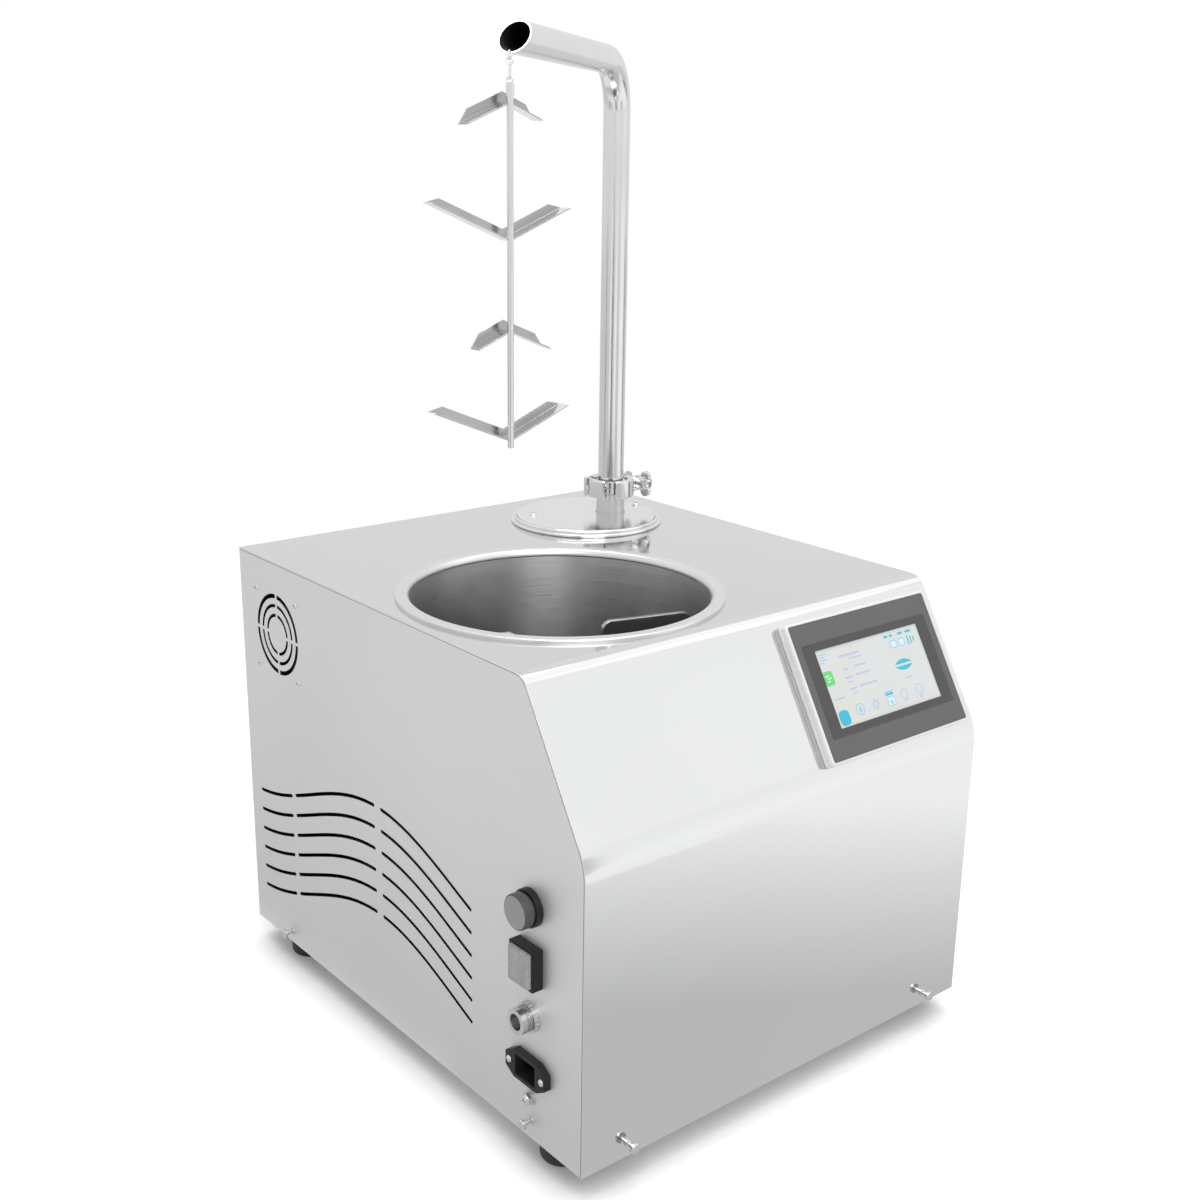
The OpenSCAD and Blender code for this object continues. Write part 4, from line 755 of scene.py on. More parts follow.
def makeSkin():
    work = bmesh.new()
    outer, inner = sheetLine(0.0), sheetLine(skin["sheet"])
    ends = []
    for x in (leftX, rightX):
        ends.append([[work.verts.new((x, y, z)) for y, z in line] for line in (outer, inner)])
    last = len(outer) - 1
    for i in range(last):
        for line in (0, 1):
            work.faces.new((ends[0][line][i], ends[0][line][i + 1], ends[1][line][i + 1], ends[1][line][i]))
        for end in ends:
            work.faces.new((end[0][i], end[0][i + 1], end[1][i + 1], end[1][i]))
    for i in (0, last):
        work.faces.new((ends[0][0][i], ends[1][0][i], ends[1][1][i], ends[0][1][i]))
    bmesh.ops.recalc_face_normals(work, faces=work.faces)
    rims = [e for e in work.edges if e.calc_face_angle(0.0) > skin["edgeTurn"]]
    bmesh.ops.bevel(work, geom=rims, offset=skin["edge"], segments=2, profile=0.5, affect="EDGES")
    obj = newPiece(work, "cabinetSkin", ["wrapSteel"], "cabinet", ["wrap_shell"])
    coverLow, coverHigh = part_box("pump_cover")
    coverMid = (coverLow + coverHigh) / 2
    tankHole = tank["rimR"] - tank["rimWidth"] + skin["tankGap"]
    window = roundedLoop(skin["windowW"], skin["windowH"], skin["windowCorner"], 2)
    topDrill = (topZ - skin["topDrill"], topZ + skin["topDrill"])
    frontDrill = (-skin["frontDrill"], skin["frontDrill"])
    tools = [
        roundTool(tankHole, upright(tankMid.x, tankMid.y), *topDrill, skin["tankSides"]),
        roundTool(skin["stubHole"], upright(stub.x, stub.y), *topDrill),
        cutTool(lambda work: loft(work, [framed(display, window, z) for z in frontDrill])),
    ]
    for inset, turn in skin["bolts"]:
        t = math.radians(turn)
        ring = (coverHigh.x - coverLow.x) / 2 - inset
        place = upright(coverMid.x + ring * math.cos(t), coverMid.y + ring * math.sin(t))
        tools.append(roundTool(skin["screwHole"], place, *topDrill, skin["screwSides"]))
    for x in (leftX + skin["screwIn"], rightX - skin["screwIn"]):
        place = frameOf(xAxis, zAxis, -yAxis, (x, frontY, baseZ + skin["screwUp"]))
        tools.append(roundTool(skin["screwHole"], place, *frontDrill, skin["screwSides"]))
    cutAway(obj, tools)
    smoothPiece(obj, skin["sharp"])


# Tank: drawn bowl with a flat rim, seal hole in the floor and the pump's port low in the wall
tank = {
    "rimR": (tankHigh.x - tankLow.x) / 2, "rimTop": tankHigh.z, "rimWidth": 0.011, "lip": 0.0015,
    "wall": 0.0015, "knuckle": 0.012, "depth": 0.170, "sealR": 0.01205, "portR": 0.01105, "portUp": 0.025,
    "portIn": 0.008, "portOut": 0.012, "collar": 0.0025, "roll": 0.0042, "seam": 0.0012, "rimRound": 0.45,
    "seat": 0.00003, "wallRows": (0.3, 0.65), "bendSteps": 10, "rimSteps": 6, "sides": 160, "sharp": 40.0,
}


def makeTank():
    r = tank["rimR"] - tank["rimWidth"]
    high = tank["rimTop"] - topZ
    k = tank["rimRound"] * high
    kn, wall, floorZ = tank["knuckle"], tank["wall"], topZ - tank["depth"]
    lip, rim, seatZ, steps = r - tank["lip"], tank["rimR"], topZ + tank["seat"], tank["bendSteps"]
    inside = [(tank["sealR"], floorZ)] + arcPoints(r - kn, floorZ + kn, kn, -90, 0, steps)
    inside += [(r, floorZ + share * tank["depth"]) for share in tank["wallRows"]]
    seamZ = topZ - tank["collar"]
    inside += [(r, seamZ - tank["seam"]), (r, seamZ)]
    drop, roll = high + tank["collar"], tank["roll"]
    edge = [(lip + roll * (1 - math.cos(t)), tank["rimTop"] - drop * (1 - math.sin(t)))
            for t in (math.pi / 2 * i / steps for i in range(steps + 1))]
    edge += arcPoints(rim - k, tank["rimTop"] - k, k, 90, 0, tank["rimSteps"]) + [(rim, seatZ)]
    outside = [(r + wall, seatZ)]
    outside += arcPoints(r - kn, floorZ + kn, kn + wall, 0, -90, steps) + [(tank["sealR"], floorZ - wall)]
    profile = inside + edge + outside
    slots = [0 if i < len(inside) - 1 or i >= len(inside) + len(edge) else 1 for i in range(len(profile))]
    # Painted shade: a dark band on the wall just under the collar stands in for the overhang's shadow
    slots[len(inside) - 2] = 2
    work = bmesh.new()
    lathe(work, profile, upright(tankMid.x, tankMid.y), tank["sides"], slots)
    finish = ["tankSteel", "rimSteel", "borePaintedShade"]
    obj = newPiece(work, "tankBowl", finish, "cabinet", ["tank_bowl"])
    turn = Vector((stub.x - tankMid.x, stub.y - tankMid.y, 0.0)).normalized()
    place = frameOf(zAxis, zAxis.cross(turn) * -1.0, turn, (tankMid.x, tankMid.y, floorZ + tank["portUp"]))
    cutAway(obj, [roundTool(tank["portR"], place, r - tank["portIn"], r + tank["portOut"])])
    smoothPiece(obj, tank["sharp"])


# Spout: one bent tube with a ferrule below and a slanted lip with its eyelet
spout = {
    "r": 0.0125, "wall": 0.0012, "rise": 0.428, "bend": 0.045, "reach": 0.294, "turn": -144.9, "tilt": 0.5,
    "cut": 45.0, "bridge": 0.0016, "eyelet": 0.002, "eyeletSides": 24, "seat": 0.00055, "around": 64,
    "bendSteps": 40, "sharp": 40.0,
    "ferrule": [  # radius, height
        (0.0177, 0.0), (0.0180, 0.0003), (0.0180, 0.0026), (0.0176, 0.0029), (0.0131, 0.0039),
        (0.0125, 0.0045),
    ],
}


def makeSpout():
    s = spout
    place = Matrix.Translation((stub.x, stub.y, 0.0)) @ Matrix.Rotation(math.radians(s["turn"]), 4, "Z")
    foot = stub.z + s["seat"]
    armZ = topZ + s["rise"]
    tilt = math.radians(s["tilt"])
    startX = s["bend"] - s["bend"] * math.sin(tilt)
    startZ = armZ - s["bend"] + s["bend"] * math.cos(tilt)
    armLen = (s["reach"] - startX) / math.cos(tilt)
    stations = [(Vector((0, 0, foot)), 0.0), (Vector((0, 0, (foot + armZ - s["bend"]) / 2)), 0.0)]
    for i in range(s["bendSteps"] + 1):
        t = (math.pi / 2 - tilt) * i / s["bendSteps"]
        at = Vector((s["bend"] - s["bend"] * math.cos(t), 0, armZ - s["bend"] + s["bend"] * math.sin(t)))
        stations.append((at, t))
    along = Vector((math.cos(tilt), 0, math.sin(tilt)))
    stations.append((Vector((startX, 0, startZ)) + along * armLen, math.pi / 2 - tilt))

    def ring(at, turn, r, slanted=False, lift=0.0):
        down = Vector((math.cos(turn), 0, -math.sin(turn)))
        points = []
        for k in range(s["around"]):
            a = 2 * math.pi * k / s["around"]
            p = at + down * (r * math.cos(a)) + yAxis * (r * math.sin(a))
            if slanted:
                p += along * (r * math.cos(a) * math.tan(math.radians(s["cut"])))
            points.append(place @ (p + zAxis * lift))
        return points

    bore = s["r"] - s["wall"]
    outer = [ring(*stations[0], r, lift=z) for r, z in s["ferrule"]]
    outer += [ring(at, t, s["r"], i == len(stations) - 2) for i, (at, t) in enumerate(stations[1:])]
    inner = [ring(at, t, bore, i == 0) for i, (at, t) in enumerate(stations[::-1])]
    work = bmesh.new()
    # The spout's bore takes the painted-shade steel
    loft(work, outer + inner, [0] * len(outer) + [1] * (len(inner) - 1) + [0], closed=True)
    obj = newPiece(work, "spoutTube", ["pipeSteel", "borePaintedShade"], "spout", ["spout_pipe"])
    lipLen = armLen + (s["r"] - s["wall"] / 2) * math.tan(math.radians(s["cut"]))
    hole = Vector((startX, 0, startZ)) + along * (lipLen - s["bridge"] - s["eyelet"])
    down = Vector((math.sin(tilt), 0, -math.cos(tilt)))
    local = frameOf(along, yAxis * -1.0, down, hole)
    cutAway(obj, [roundTool(s["eyelet"], place @ local, bore / 2, 2 * s["r"], s["eyeletSides"])])
    smoothPiece(obj, s["sharp"])


# Touch display: moulded case with a groove round its side, dark border and a lit page of plain signs
panel = {
    "w": 0.170, "h": 0.118, "borderW": 0.150, "borderH": 0.078, "screenW": 0.125, "screenH": 0.065,
    "well": 0.0046, "wellFloor": 0.0039, "wellCorner": 0.001, "faceBack": 0.00798, "borderLow": 0.00881,
    "borderTop": 0.00896, "borderEdge": 0.0003, "borderLap": 0.0002,
    "borderCorners": (0.0015, 0.0014, 0.0004),
    "profile": [  # inset, corner, level
        (0.016, 0.001, -0.028), (0.016, 0.001, 0.00004), (0.001, 0.003, 0.00004), (0.0, 0.0035, 0.0005),
        (0.0, 0.0035, 0.0031), (0.0016, 0.0027, 0.0034), (0.0016, 0.0027, 0.0042), (0.0003, 0.0035, 0.0046),
        (0.0003, 0.0035, 0.0074), (0.0009, 0.0035, 0.0083), (0.0022, 0.0035, 0.00885),
        (0.0036, 0.0035, 0.009), (0.0052, 0.002, 0.009), (0.0052, 0.002, 0.00798),
    ],
}


def makeCase():
    p = panel
    rows = [(p["w"] - inset, p["h"] - inset, corner, z) for inset, corner, z in p["profile"]]
    wide, tall = p["screenW"], p["screenH"]
    well = (wide + p["well"], tall + p["well"], p["wellCorner"])
    rows += [(*well, z) for z in (p["faceBack"], p["wellFloor"])]
    work = bmesh.new()
    loft(work, [framed(display, roundedLoop(a, b, c), z) for a, b, c, z in rows])
    newPiece(work, "displayCase", ["caseWhite"], "cabinet", ["display_housing"])
    outer, upper, inner = p["borderCorners"]
    edge, lap = p["borderEdge"], p["borderLap"]
    rows = [
        (p["borderW"], p["borderH"], outer, p["borderLow"]),
        (p["borderW"] - edge, p["borderH"] - edge, upper, p["borderTop"]),
        (wide - lap, tall - lap, inner, p["borderTop"]),
        (wide - lap, tall - lap, inner, p["borderLow"]),
    ]
    work = bmesh.new()
    loft(work, [framed(display, roundedLoop(a, b, c), z) for a, b, c, z in rows], closed=True)
    newPiece(work, "displayBorder", ["borderGrey"], "cabinet")


# Plain signs on the lit page, in millimetres from the screen's middle
page = {
    "unit": 0.001, "top": 0.008, "foot": 0.00002, "step": 0.000004, "level": 0.00008, "hoopSides": 48,
    "levels": {"Pale": 0.00012, "Drop": 0.00016}, "finishes": {"Drop": "iconBlue"},
    "Cyan": [
        ("tile", -54.0, -25.0, 12.0, 12.5, 4.0), ("lens", 32.0, 2.4, 21.0, 7.6, 0.9, 1),
        ("lens", 32.0, 2.4, 21.0, 7.6, 0.9, -1), ("bar", 22.0, 28.2, 5.0, 2.0), ("bar", 28.5, 28.2, 4.0, 2.0),
        ("bar", 40.0, 28.2, 6.0, 2.0), ("bar", 50.0, 28.2, 7.5, 2.0), ("bar", 47.0, 20.5, 1.4, 8.0),
        ("bar", 50.5, 20.5, 1.4, 6.5), ("bar", 54.0, 20.5, 1.4, 5.0), ("bar", 3.5, -17.4, 10.0, 2.0),
    ],
    "Green": [("tile", -56.2, 8.5, 10.5, 12.0, 2.2)],
    "Blue": [
        ("bar", 33.0, -9.0, 8.0, 0.9), ("bar", -55.5, 28.4, 9.0, 0.9), ("bar", -56.75, 26.1, 6.5, 0.9),
        ("bar", -56.0, 23.8, 8.0, 0.9), ("bar", -57.5, 21.5, 5.0, 0.9), ("bar", -50.0, -9.0, 7.5, 1.0),
        ("bar", -55.0, -9.1, 5.5, 1.0),
        ("tile", 28.5, 20.8, 8.0, 7.0, 1.6), ("tile", 38.5, 20.8, 8.0, 7.0, 1.6),
        ("hoop", -34.0, -22.0, 5.0, 0.7), ("drop", -34.0, -22.8, 1.9), ("hoop", -15.5, -22.0, 3.2, 1.0),
        *[("ray", -15.5, -22.0, 4.6, 45.0 * i, 1.3) for i in range(8)],
        ("tile", 3.5, -23.6, 9.0, 8.0, 1.6), ("bar", 3.5, -15.4, 9.5, 1.2),
        ("bow", 21.0, -22.0, 5.0, 0.7, 20, 200), ("bow", 21.0, -22.0, 3.4, 0.7, 200, 380),
        ("bar", 21.0, -26.2, 6.0, 0.9), ("hoop", 40.0, -20.8, 4.4, 0.7), ("bar", 40.0, -26.6, 4.0, 0.9),
        ("bar", 40.0, -28.2, 2.6, 0.9),
    ],
    "Lilac": [
        ("bar", -26.0, 23.0, 25.0, 2.0), ("bar", -20.0, 19.6, 16.0, 0.9), ("bar", -35.0, 12.0, 6.0, 1.4),
        ("bar", -18.0, 12.6, 14.0, 1.6), ("bar", -34.0, 5.0, 9.0, 1.4), ("bar", -17.0, 5.6, 18.0, 1.6),
        ("bar", -34.0, 1.2, 7.0, 0.9), ("bar", -33.0, -4.4, 9.0, 1.4), ("bar", -15.0, -4.0, 22.0, 1.6),
        ("bar", -33.0, -8.2, 7.0, 0.9),
    ],
    "Pale": [
        ("bar", -57.5, 10.6, 4.4, 1.0), ("bar", -55.7, 8.4, 5.0, 1.0), ("bar", -57.2, 6.2, 3.6, 1.0),
        ("tile", 28.5, 20.8, 6.2, 5.2, 1.0), ("tile", 38.5, 20.8, 6.2, 5.2, 1.0),
        ("tile", 3.5, -23.6, 7.4, 6.4, 1.0),
    ],
    "Drop": [("drop", 3.5, -24.8, 1.5)],
}


def barSign(x, y, w, h):
    return [[(x + a, y + b) for a, b in roundedLoop(w, h, 0.49 * min(w, h), 4)]]


def tileSign(x, y, w, h, k):
    return [[(x + a, y + b) for a, b in roundedLoop(w, h, k, 5)]]


def raySign(x, y, away, turn, w):
    t = math.radians(turn)
    return barSign(x + away * math.cos(t), y + away * math.sin(t), w, w)


def dropSign(x, y, r):
    return [arcPoints(x, y, r, 150, 390, 18) + [(x, y + 2.0 * r)]]


def lensSign(x, y, w, h, gap, side):
    bow = (w * w / 4 + h * h / 4) / h
    half = math.degrees(math.asin(w / 2 / bow))
    line = arcPoints(0.0, h / 2 - bow, bow, 90 - half, 90 + half, 20)
    return [[(x + a, y + side * (b + gap)) for a, b in line]]


def bowSign(x, y, r, t, start, end):
    steps = page["hoopSides"]
    return [arcPoints(x, y, r, start, end, steps) + arcPoints(x, y, r - t, end, start, steps)]


def hoopSign(x, y, r, t):
    last = page["hoopSides"] - 1
    return [arcPoints(x, y, each, 0, 360 * last / page["hoopSides"], last) for each in (r, r - t)]


signMakers = {
    "bar": barSign, "tile": tileSign, "ray": raySign, "drop": dropSign, "lens": lensSign, "bow": bowSign,
    "hoop": hoopSign,
}


# Each sign is a thin closed solid; a hoop has an outer and an inner loop
def makeSigns():
    low = page["top"] - page["foot"]
    for name in ("Cyan", "Green", "Blue", "Lilac", "Pale", "Drop"):
        work = bmesh.new()
        for i, (kind, *values) in enumerate(page[name]):
            high = page["top"] + page["levels"].get(name, page["level"]) + page["step"] * (i % 5)
            loops = [[(x * page["unit"], y * page["unit"]) for x, y in loop]
                     for loop in signMakers[kind](*values)]
            rings = [framed(display, loops[0], z) for z in (low, high)]
            if len(loops) == 2:
                rings += [framed(display, loops[1], z) for z in (high, low)]
            loft(work, rings, closed=len(loops) == 2)
        finish = page["finishes"].get(name, "icon" + name)
        newPiece(work, "page" + name, [finish], "cabinet")


# Push button: a ring with a well, and a cap with a paler face set in it
button = {
    "r": 0.015, "ring": 0.0055, "top": 0.015, "neck": 0.0123, "well": 0.0032, "bore": 0.0087, "inside": 0.024,
    "barrel": 0.012, "box": 0.014, "nutBore": 0.01205, "nutLow": -0.0055, "nutHigh": -0.0016, "around": 72,
    "faceFrom": 8, "seat": 0.00004,
}


def makeButton():
    b = button
    mid = boxCentre("button_cap")
    place = onLeft(mid.y, mid.z)
    r, ring, top, inside = b["r"], b["ring"], b["top"], b["inside"]
    work = bmesh.new()
    lathe(work, [
        (b["bore"], b["well"]), (r - 0.0021, b["well"]), (r - 0.0021, ring - 0.0004), (r - 0.0018, ring),
        (r - 0.0008, ring), (r - 0.0002, ring - 0.0003), (r, ring - 0.001), (r, b["seat"]),
        (b["barrel"], b["seat"]), (b["barrel"], -inside), (b["bore"], -inside),
    ], place, b["around"])
    low, high = b["nutLow"], b["nutHigh"]
    lathe(work, [(b["nutBore"], low), (r, low), (r, high), (b["nutBore"], high)], place, 6)
    square = roundedLoop(2 * r, 2 * r, 0.001, 2)
    loft(work, [framed(place, square, z) for z in (-inside - b["box"], -inside)])
    newPiece(work, "buttonRing", ["blackPlastic"], "cabinet", ["button_bezel"])
    profile = [
        (0, ring - 0.0003), (b["neck"], ring - 0.0003), (b["neck"], ring + 0.0018),
        (r - 0.0016, ring + 0.0018), (r - 0.0012, ring + 0.0022), (r - 0.0012, top - 0.0012),
        (r - 0.0014, top - 0.0006), (r - 0.0019, top - 0.0001), (r - 0.0024, top), (r - 0.0027, top - 0.0002),
        (r - 0.0031, top - 0.00025), (0.006, top - 0.0003), (0, top - 0.0003),
    ]
    slots = [1 if i >= b["faceFrom"] else 0 for i in range(len(profile) - 1)]
    work = bmesh.new()
    lathe(work, profile, place, b["around"], slots, closed=False)
    newPiece(work, "buttonTop", ["capGrey", "capFace"], "button", ["button_cap"])


# Frosted dust hood over the rocker, a thin shell with rounded shoulders
hood = {
    "tall": 0.029, "wide": 0.025, "from": 0.0095, "seat": 0.00004, "high": 0.003, "wall": 0.0009,
    "corner": 0.0018, "flat": 0.006,
}


def makeHoodShell():
    h = hood
    mid = boxCentre("rocker_frame")
    place = onLeft(mid.y, mid.z)
    z0, z1, t, flat = h["from"] + h["seat"], h["from"] + h["high"], h["wall"], h["flat"]
    outside = [(0.0, z0), (0.0, z1 - 0.0013), (0.0005, z1 - 0.0005), (0.0016, z1 - 0.0001), (flat, z1)]
    inside = [(2 * t, z0), (2 * t, z1 - t - 0.0006), (2 * t + 0.0012, z1 - t - 0.0001), (flat, z1 - t)]
    work = bmesh.new()
    shell(work, *[[framed(place, roundedLoop(h["tall"] - d, h["wide"] - d, h["corner"]), z) for d, z in rows]
                  for rows in (outside, inside)])
    newPiece(work, "rockerHood", ["hoodClear"], "cabinet", ["rocker_hood"])


# Weld bead round the delivery stub
weld = {
    "r": 0.0143, "sunk": 0.0003, "bead": 0.0009, "flat": 0.9, "up": 0.0062, "ripples": 46, "swell": 0.16,
    "steps": 184, "around": 12,
}


def makeWeld():
    work = bmesh.new()
    count, around = weld["steps"], weld["around"]
    rows = []
    for i in range(count):
        t = 2 * math.pi * i / count
        bead = weld["bead"] * (1 + weld["swell"] * math.sin(weld["ripples"] * t))
        mid = weld["r"] - weld["sunk"]
        rows.append([Vector((stub.x + (mid + bead * math.cos(a)) * math.cos(t),
                             stub.y + (mid + bead * math.cos(a)) * math.sin(t),
                             topZ + weld["up"] + weld["flat"] * bead * math.sin(a)))
                     for a in (2 * math.pi * j / around for j in range(around))])
    loft(work, rows, closed=True)
    newPiece(work, "stubWeld", ["weldSteel"], "cabinet")


# Hard-edged solids with a small round worked along their edges
rounds = {
    "join": 2e-6, "flat": 0.5, "turn": 32.0, "sharp": 30.0, "segments": 3, "bright": 0.6,
    "rows": [  # nodes, width, slot
        (["clamp_front", "clamp_left", "clamp_rear"], 0.0005, "bright_steel"),
        (["wing_nut"], 0.0006, "bright_steel"),
        (["rocker_frame"], 0.0005, "black_plastic"),
        (["power_inlet"], 0.0007, "black_plastic"),
        (["stirrer_paddle"], 0.0009, "bright_steel"),
        (["vane_tier_%d" % tier for tier in (1, 2, 3, 4)], 0.0002, "bright_steel"),
        (["rubber_feet"], 0.0012, "black_rubber"),
    ],
}


# Painted light on the vanes: faces that point up or down get a pale painted-highlight copy of the steel, the
# upright faces and edges a darker painted-shade copy
def paintVanes(work, finishNames):
    if finishNames != ["vaneSteel"]:
        return
    finishNames.append("vanePaintedHighlight")
    work.normal_update()
    for face in work.faces:
        face.material_index = 1 if abs(face.normal.z) > rounds["bright"] else 0


def roundSolid(node, width):
    source = nodes[node]
    work = bmesh.new()
    work.from_mesh(source.data)
    flat = math.radians(rounds["flat"])
    bmesh.ops.remove_doubles(work, verts=work.verts, dist=rounds["join"])
    bmesh.ops.dissolve_limit(work, angle_limit=flat, verts=work.verts, edges=work.edges)
    finishNames = [source.data.materials[0].name]
    paintVanes(work, finishNames)
    first, *others = node.split("_")
    name = first + "".join(word.capitalize() for word in others) + "Round"
    obj = newPiece(work, name, finishNames, body_of(source)[0], [node], rounds["sharp"])
    obj.modifiers.clear()
    edge = obj.modifiers.new("edge", "BEVEL")
    edge.width = width
    edge.segments = rounds["segments"]
    edge.limit_method = "ANGLE"
    edge.angle_limit = math.radians(rounds["turn"])
    edge.harden_normals = False
    even = obj.modifiers.new("evenNormals", "WEIGHTED_NORMAL")
    even.keep_sharp = True


def makeRounds():
    for names, width, slotName in rounds["rows"]:
        for node in names:
            roundSolid(node, width)


makeSkin()
makeTank()
makeSpout()
makeCase()
makeSigns()
makeButton()
makeHoodShell()
makeWeld()
makeRounds()


# Camera at the photograph's place
shot = {
    "aside": -0.80718, "back": -0.9794, "up": 0.74995, "azimuth": -39.59, "elevation": 16.82, "roll": 0.88,
    "focal": 1510.27, "photoSide": 1200.0, "sensor": 36.0, "farthest": 50.0,
}
place = ((leftX + rightX) / 2 + shot["aside"], shot["back"], shot["up"])
a, e, r = (math.radians(shot[k]) for k in ("azimuth", "elevation", "roll"))
back = Vector((math.sin(a) * math.cos(e), -math.cos(a) * math.cos(e), math.sin(e)))
right = zAxis.cross(back).normalized()
up = back.cross(right)
rolledRight = right * math.cos(r) + up * math.sin(r)
rolledUp = up * math.cos(r) - right * math.sin(r)
camera = bpy.data.objects.new("camera", bpy.data.cameras.new("camera"))
camera.data.sensor_width = shot["sensor"]
camera.data.lens = shot["focal"] / shot["photoSide"] * shot["sensor"]
camera.data.clip_end = shot["farthest"]
camera.matrix_world = frameOf(rolledRight, rolledUp, back, place)
bpy.context.scene.collection.objects.link(camera)
bpy.context.scene.camera = camera


# Studio: pale floor that fades into the white, with painted contact shadow near the object, soft lamps, and
# cards that only the steel shows
studio = {
    "floor": (0.86, 0.86, 0.86), "lift": 0.32, "fade": (1.0, 1.9), "ambient": 0.55, "shadowReach": 0.05,
    "shadowDeepest": 0.45, "shadowRange": (0.35, 0.72), "floorDrift": 0.985, "floorPits": 60.0, "floorCloud": 2.0,
    "floorSide": 4.4, "floorRough": 0.9, "floorSheen": 0.1,
    "lamps": [
        {"name": "keyLamp", "at": (-1.0, -2.1, 2.3), "aim": (0.0, 0.0, 0.35), "size": 1.7, "power": 34.0},
        {"name": "topLamp", "at": (0.3, 0.3, 2.9), "aim": (0.0, 0.0, 0.3), "size": 1.8, "power": 26.0},
        {"name": "rightLamp", "at": (1.5, -1.75, 1.6), "aim": (0.0, -0.2, 0.33), "size": 1.8, "power": 2.6},
        {"name": "slopeLamp", "at": (1.44, -0.60, 2.2), "aim": (0.1, -0.18, 0.38), "size": 1.5, "power": 3.0},
    ],
    "cards": [
        {"name": "frontCard", "at": (0.29, -0.51, 0.002), "size": (3.0, 1.3), "turn": (0.0, 0.0, 30.0),
         "range": (0.22, -0.18), "near": 0.70, "far": 1.25},
        {"name": "bendCard", "at": (0.875, -0.92, 0.33), "size": (1.0, 0.66), "turn": (90.0, 0.0, 30.0),
         "range": (0.33, -0.33), "near": 1.2, "far": 1.3},
        {"name": "backCard", "at": (2.0, 2.2, 1.3), "size": (5.0, 1.8), "turn": (90.0, 0.0, 0.0),
         "range": (0.9, -0.9), "near": 0.94, "far": 0.88},
        {"name": "leftCard", "at": (-0.66, 0.3, 0.002), "size": (3.0, 0.86), "turn": (0.0, 0.0, -90.0),
         "range": (0.43, -0.43), "near": 0.62, "far": 1.26},
    ],
    "wall": {"r": 1.5, "high": 0.55, "tone": 0.8, "sides": 64},
    "strips": {"away": 1.3, "high": 0.6, "rows": [  # turn, width in degrees, tone
        (-8.5, 9.0, 0.12), (-24.0, 14.0, 1.25), (18.0, 18.0, 1.25), (-66.0, 6.0, 0.25), (105.0, 9.0, 0.25),
    ]},
}


def facesObject(name, points, faces, mat):
    mesh = bpy.data.meshes.new(name)
    mesh.from_pydata(points, [], faces)
    mesh.materials.append(mat)
    obj = bpy.data.objects.new(name, mesh)
    bpy.context.scene.collection.objects.link(obj)
    return obj


def sheetObject(name, width, depth, mat):
    w, d = width / 2, depth / 2
    return facesObject(name, [(-w, -d, 0), (w, -d, 0), (w, d, 0), (-w, d, 0)], [(0, 1, 2, 3)], mat)


def rayMask(tree):
    path = add(tree, "ShaderNodeLightPath")
    first = add(tree, "ShaderNodeMath", operation="MAXIMUM")
    second = add(tree, "ShaderNodeMath", operation="MAXIMUM")
    wire(tree, [
        (path, "Is Camera Ray", first, 0), (path, "Is Glossy Ray", first, 1), (first, 0, second, 0),
        (path, "Is Transmission Ray", second, 1),
    ])
    return second


def makeFloor():
    mat, tree, shader = startMaterial("floorPale")
    skin = useGroup(tree, "moulded", scale=studio["floorPits"], cloud=studio["floorCloud"])
    tone = mixColours(tree, tuple(studio["floorDrift"] * c for c in studio["floor"]), studio["floor"])
    link(tree, skin, "Tone", tone, "Factor")
    # Painted shadow: an occlusion node darkens the floor's colour and its glow close to the object
    near = add(tree, "ShaderNodeAmbientOcclusion", samples=8)
    near.inputs["Distance"].default_value = studio["shadowReach"]
    paintedShadow = spread(tree, studio["shadowDeepest"], 1.0, *studio["shadowRange"])
    shade = mixColours(tree, (0.0, 0.0, 0.0), (0.0, 0.0, 0.0))
    link(tree, near, "AO", paintedShadow, "Value")
    link(tree, paintedShadow, "Result", shade, "Factor")
    linkColour(tree, tone, shade, "B")
    linkColour(tree, shade, shader, "Base Color")
    setValues(shader, {"Roughness": studio["floorRough"], "Specular IOR Level": studio["floorSheen"]})
    glow = add(tree, "ShaderNodeEmission")
    lift = add(tree, "ShaderNodeMath", operation="MULTIPLY")
    lift.inputs[1].default_value = studio["lift"]
    link(tree, paintedShadow, "Result", lift, 0)
    link(tree, lift, 0, glow, "Strength")
    total = add(tree, "ShaderNodeAddShader")
    pick = add(tree, "ShaderNodeMixShader")
    spot = add(tree, "ShaderNodeTexCoord")
    reach = add(tree, "ShaderNodeVectorMath", operation="LENGTH")
    edge = spread(tree, 0.0, 1.0, *studio["fade"])
    gone = add(tree, "ShaderNodeBsdfTransparent")
    ends = add(tree, "ShaderNodeMixShader")
    wire(tree, [
        (shader, 0, total, 0), (glow, 0, total, 1), (rayMask(tree), 0, pick, 0), (shader, 0, pick, 1),
        (total, 0, pick, 2), (spot, "Object", reach, 0), (reach, "Value", edge, "Value"),
        (edge, "Result", ends, 0), (pick, 0, ends, 1), (gone, 0, ends, 2),
        (ends, 0, tree.nodes["Material Output"], "Surface"),
    ])
    return mat


def makeCard(card):
    mat, tree, shader = startMaterial(card["name"])
    tree.nodes.remove(shader)
    spot = add(tree, "ShaderNodeTexCoord")
    parts = add(tree, "ShaderNodeSeparateXYZ")
    tone = spread(tree, card["near"], card["far"], *card["range"])
    glow = add(tree, "ShaderNodeEmission")
    wire(tree, [
        (spot, "Object", parts, 0), (parts, "Y", tone, "Value"), (tone, "Result", glow, "Strength"),
        (glow, 0, tree.nodes["Material Output"], "Surface"),
    ])
    obj = sheetObject(card["name"], *card["size"], mat)
    obj.location = card["at"]
    obj.rotation_euler = [math.radians(v) for v in card["turn"]]
    onlyReflected(obj)


def onlyReflected(obj):
    obj.visible_camera = False
    obj.visible_shadow = False
    obj.visible_diffuse = False


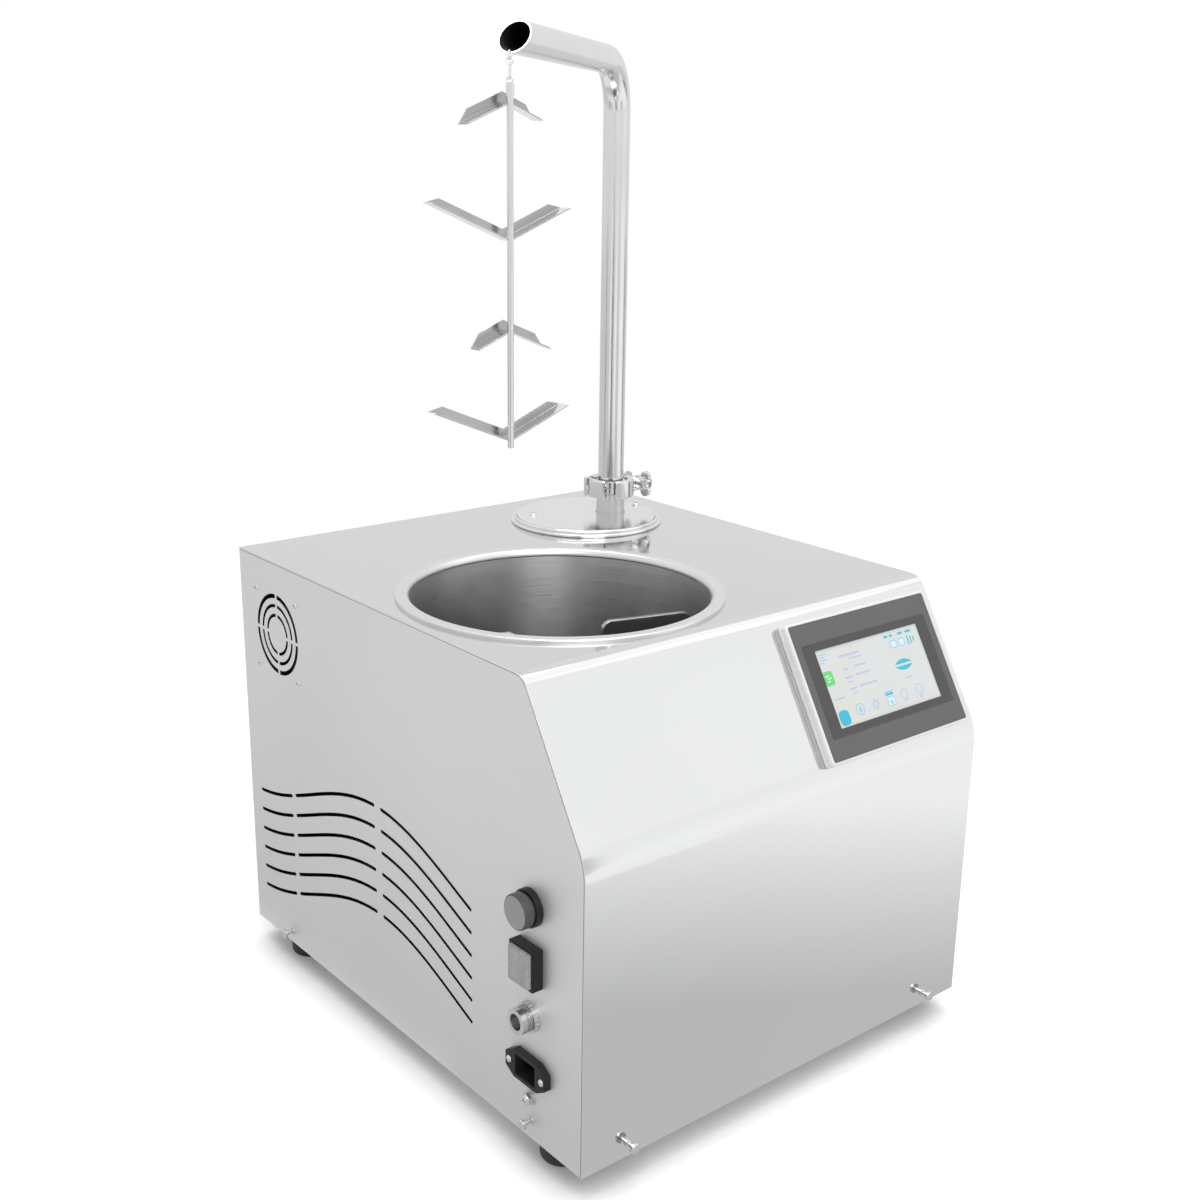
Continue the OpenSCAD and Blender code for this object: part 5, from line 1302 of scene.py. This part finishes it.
# Low wall round the floor and strips in front of it, which round bars pick up as lines
def makeWall():
    wall, strips = studio["wall"], studio["strips"]
    for i, (turn, wide, tone) in enumerate(strips["rows"]):
        t = math.radians(turn)
        away = back.xy.normalized() * math.cos(t) + right.xy.normalized() * math.sin(t)
        at = stub.xy + away * strips["away"]
        size = (2 * strips["away"] * math.tan(math.radians(wide / 2)), strips["high"])
        makeCard({"name": "strip%d" % i, "at": (at.x, at.y, strips["high"] / 2), "size": size,
                  "turn": (90.0, 0.0, math.degrees(math.atan2(-away.x, away.y))), "range": (0.0, 1.0),
                  "near": tone, "far": tone})
    mat, tree, shader = startMaterial("wallPale")
    tree.nodes.remove(shader)
    glow = add(tree, "ShaderNodeEmission")
    glow.inputs["Strength"].default_value = wall["tone"]
    link(tree, glow, 0, tree.nodes["Material Output"], "Surface")
    spots = arcPoints(0.0, 0.0, wall["r"], 0, 360, wall["sides"])
    points = [(x, y, z) for z in (0.0, wall["high"]) for x, y in spots]
    count = len(spots)
    faces = [(i, i + 1, count + i + 1, count + i) for i in range(count - 1)]
    onlyReflected(facesObject("wall", points, faces, mat))


floor = sheetObject("floor", studio["floorSide"], studio["floorSide"], makeFloor())
for card in studio["cards"]:
    makeCard(card)
makeWall()
for lamp in studio["lamps"]:
    data = bpy.data.lights.new(lamp["name"], "AREA")
    data.shape = "SQUARE"
    data.size = lamp["size"]
    data.energy = lamp["power"]
    obj = bpy.data.objects.new(lamp["name"], data)
    obj.location = lamp["at"]
    aim = Vector(lamp["at"]) - Vector(lamp["aim"])
    obj.rotation_euler = aim.to_track_quat("Z", "Y").to_euler()
    bpy.context.scene.collection.objects.link(obj)

world = bpy.data.worlds.new("studio")
bpy.context.scene.world = world
world.use_nodes = True
tree = world.node_tree
ground = tree.nodes["Background"]
setValues(ground, {"Color": (1.0, 1.0, 1.0, 1.0), "Strength": studio["ambient"]})
white = add(tree, "ShaderNodeBackground")
white.inputs["Color"].default_value = (1.0, 1.0, 1.0, 1.0)
pick = add(tree, "ShaderNodeMixShader")
wire(tree, [
    (rayMask(tree), 0, pick, 0), (ground, 0, pick, 1), (white, 0, pick, 2),
    (pick, 0, tree.nodes["World Output"], "Surface"),
])
bpy.context.scene.view_settings.view_transform = "Standard"
print("studio lit")
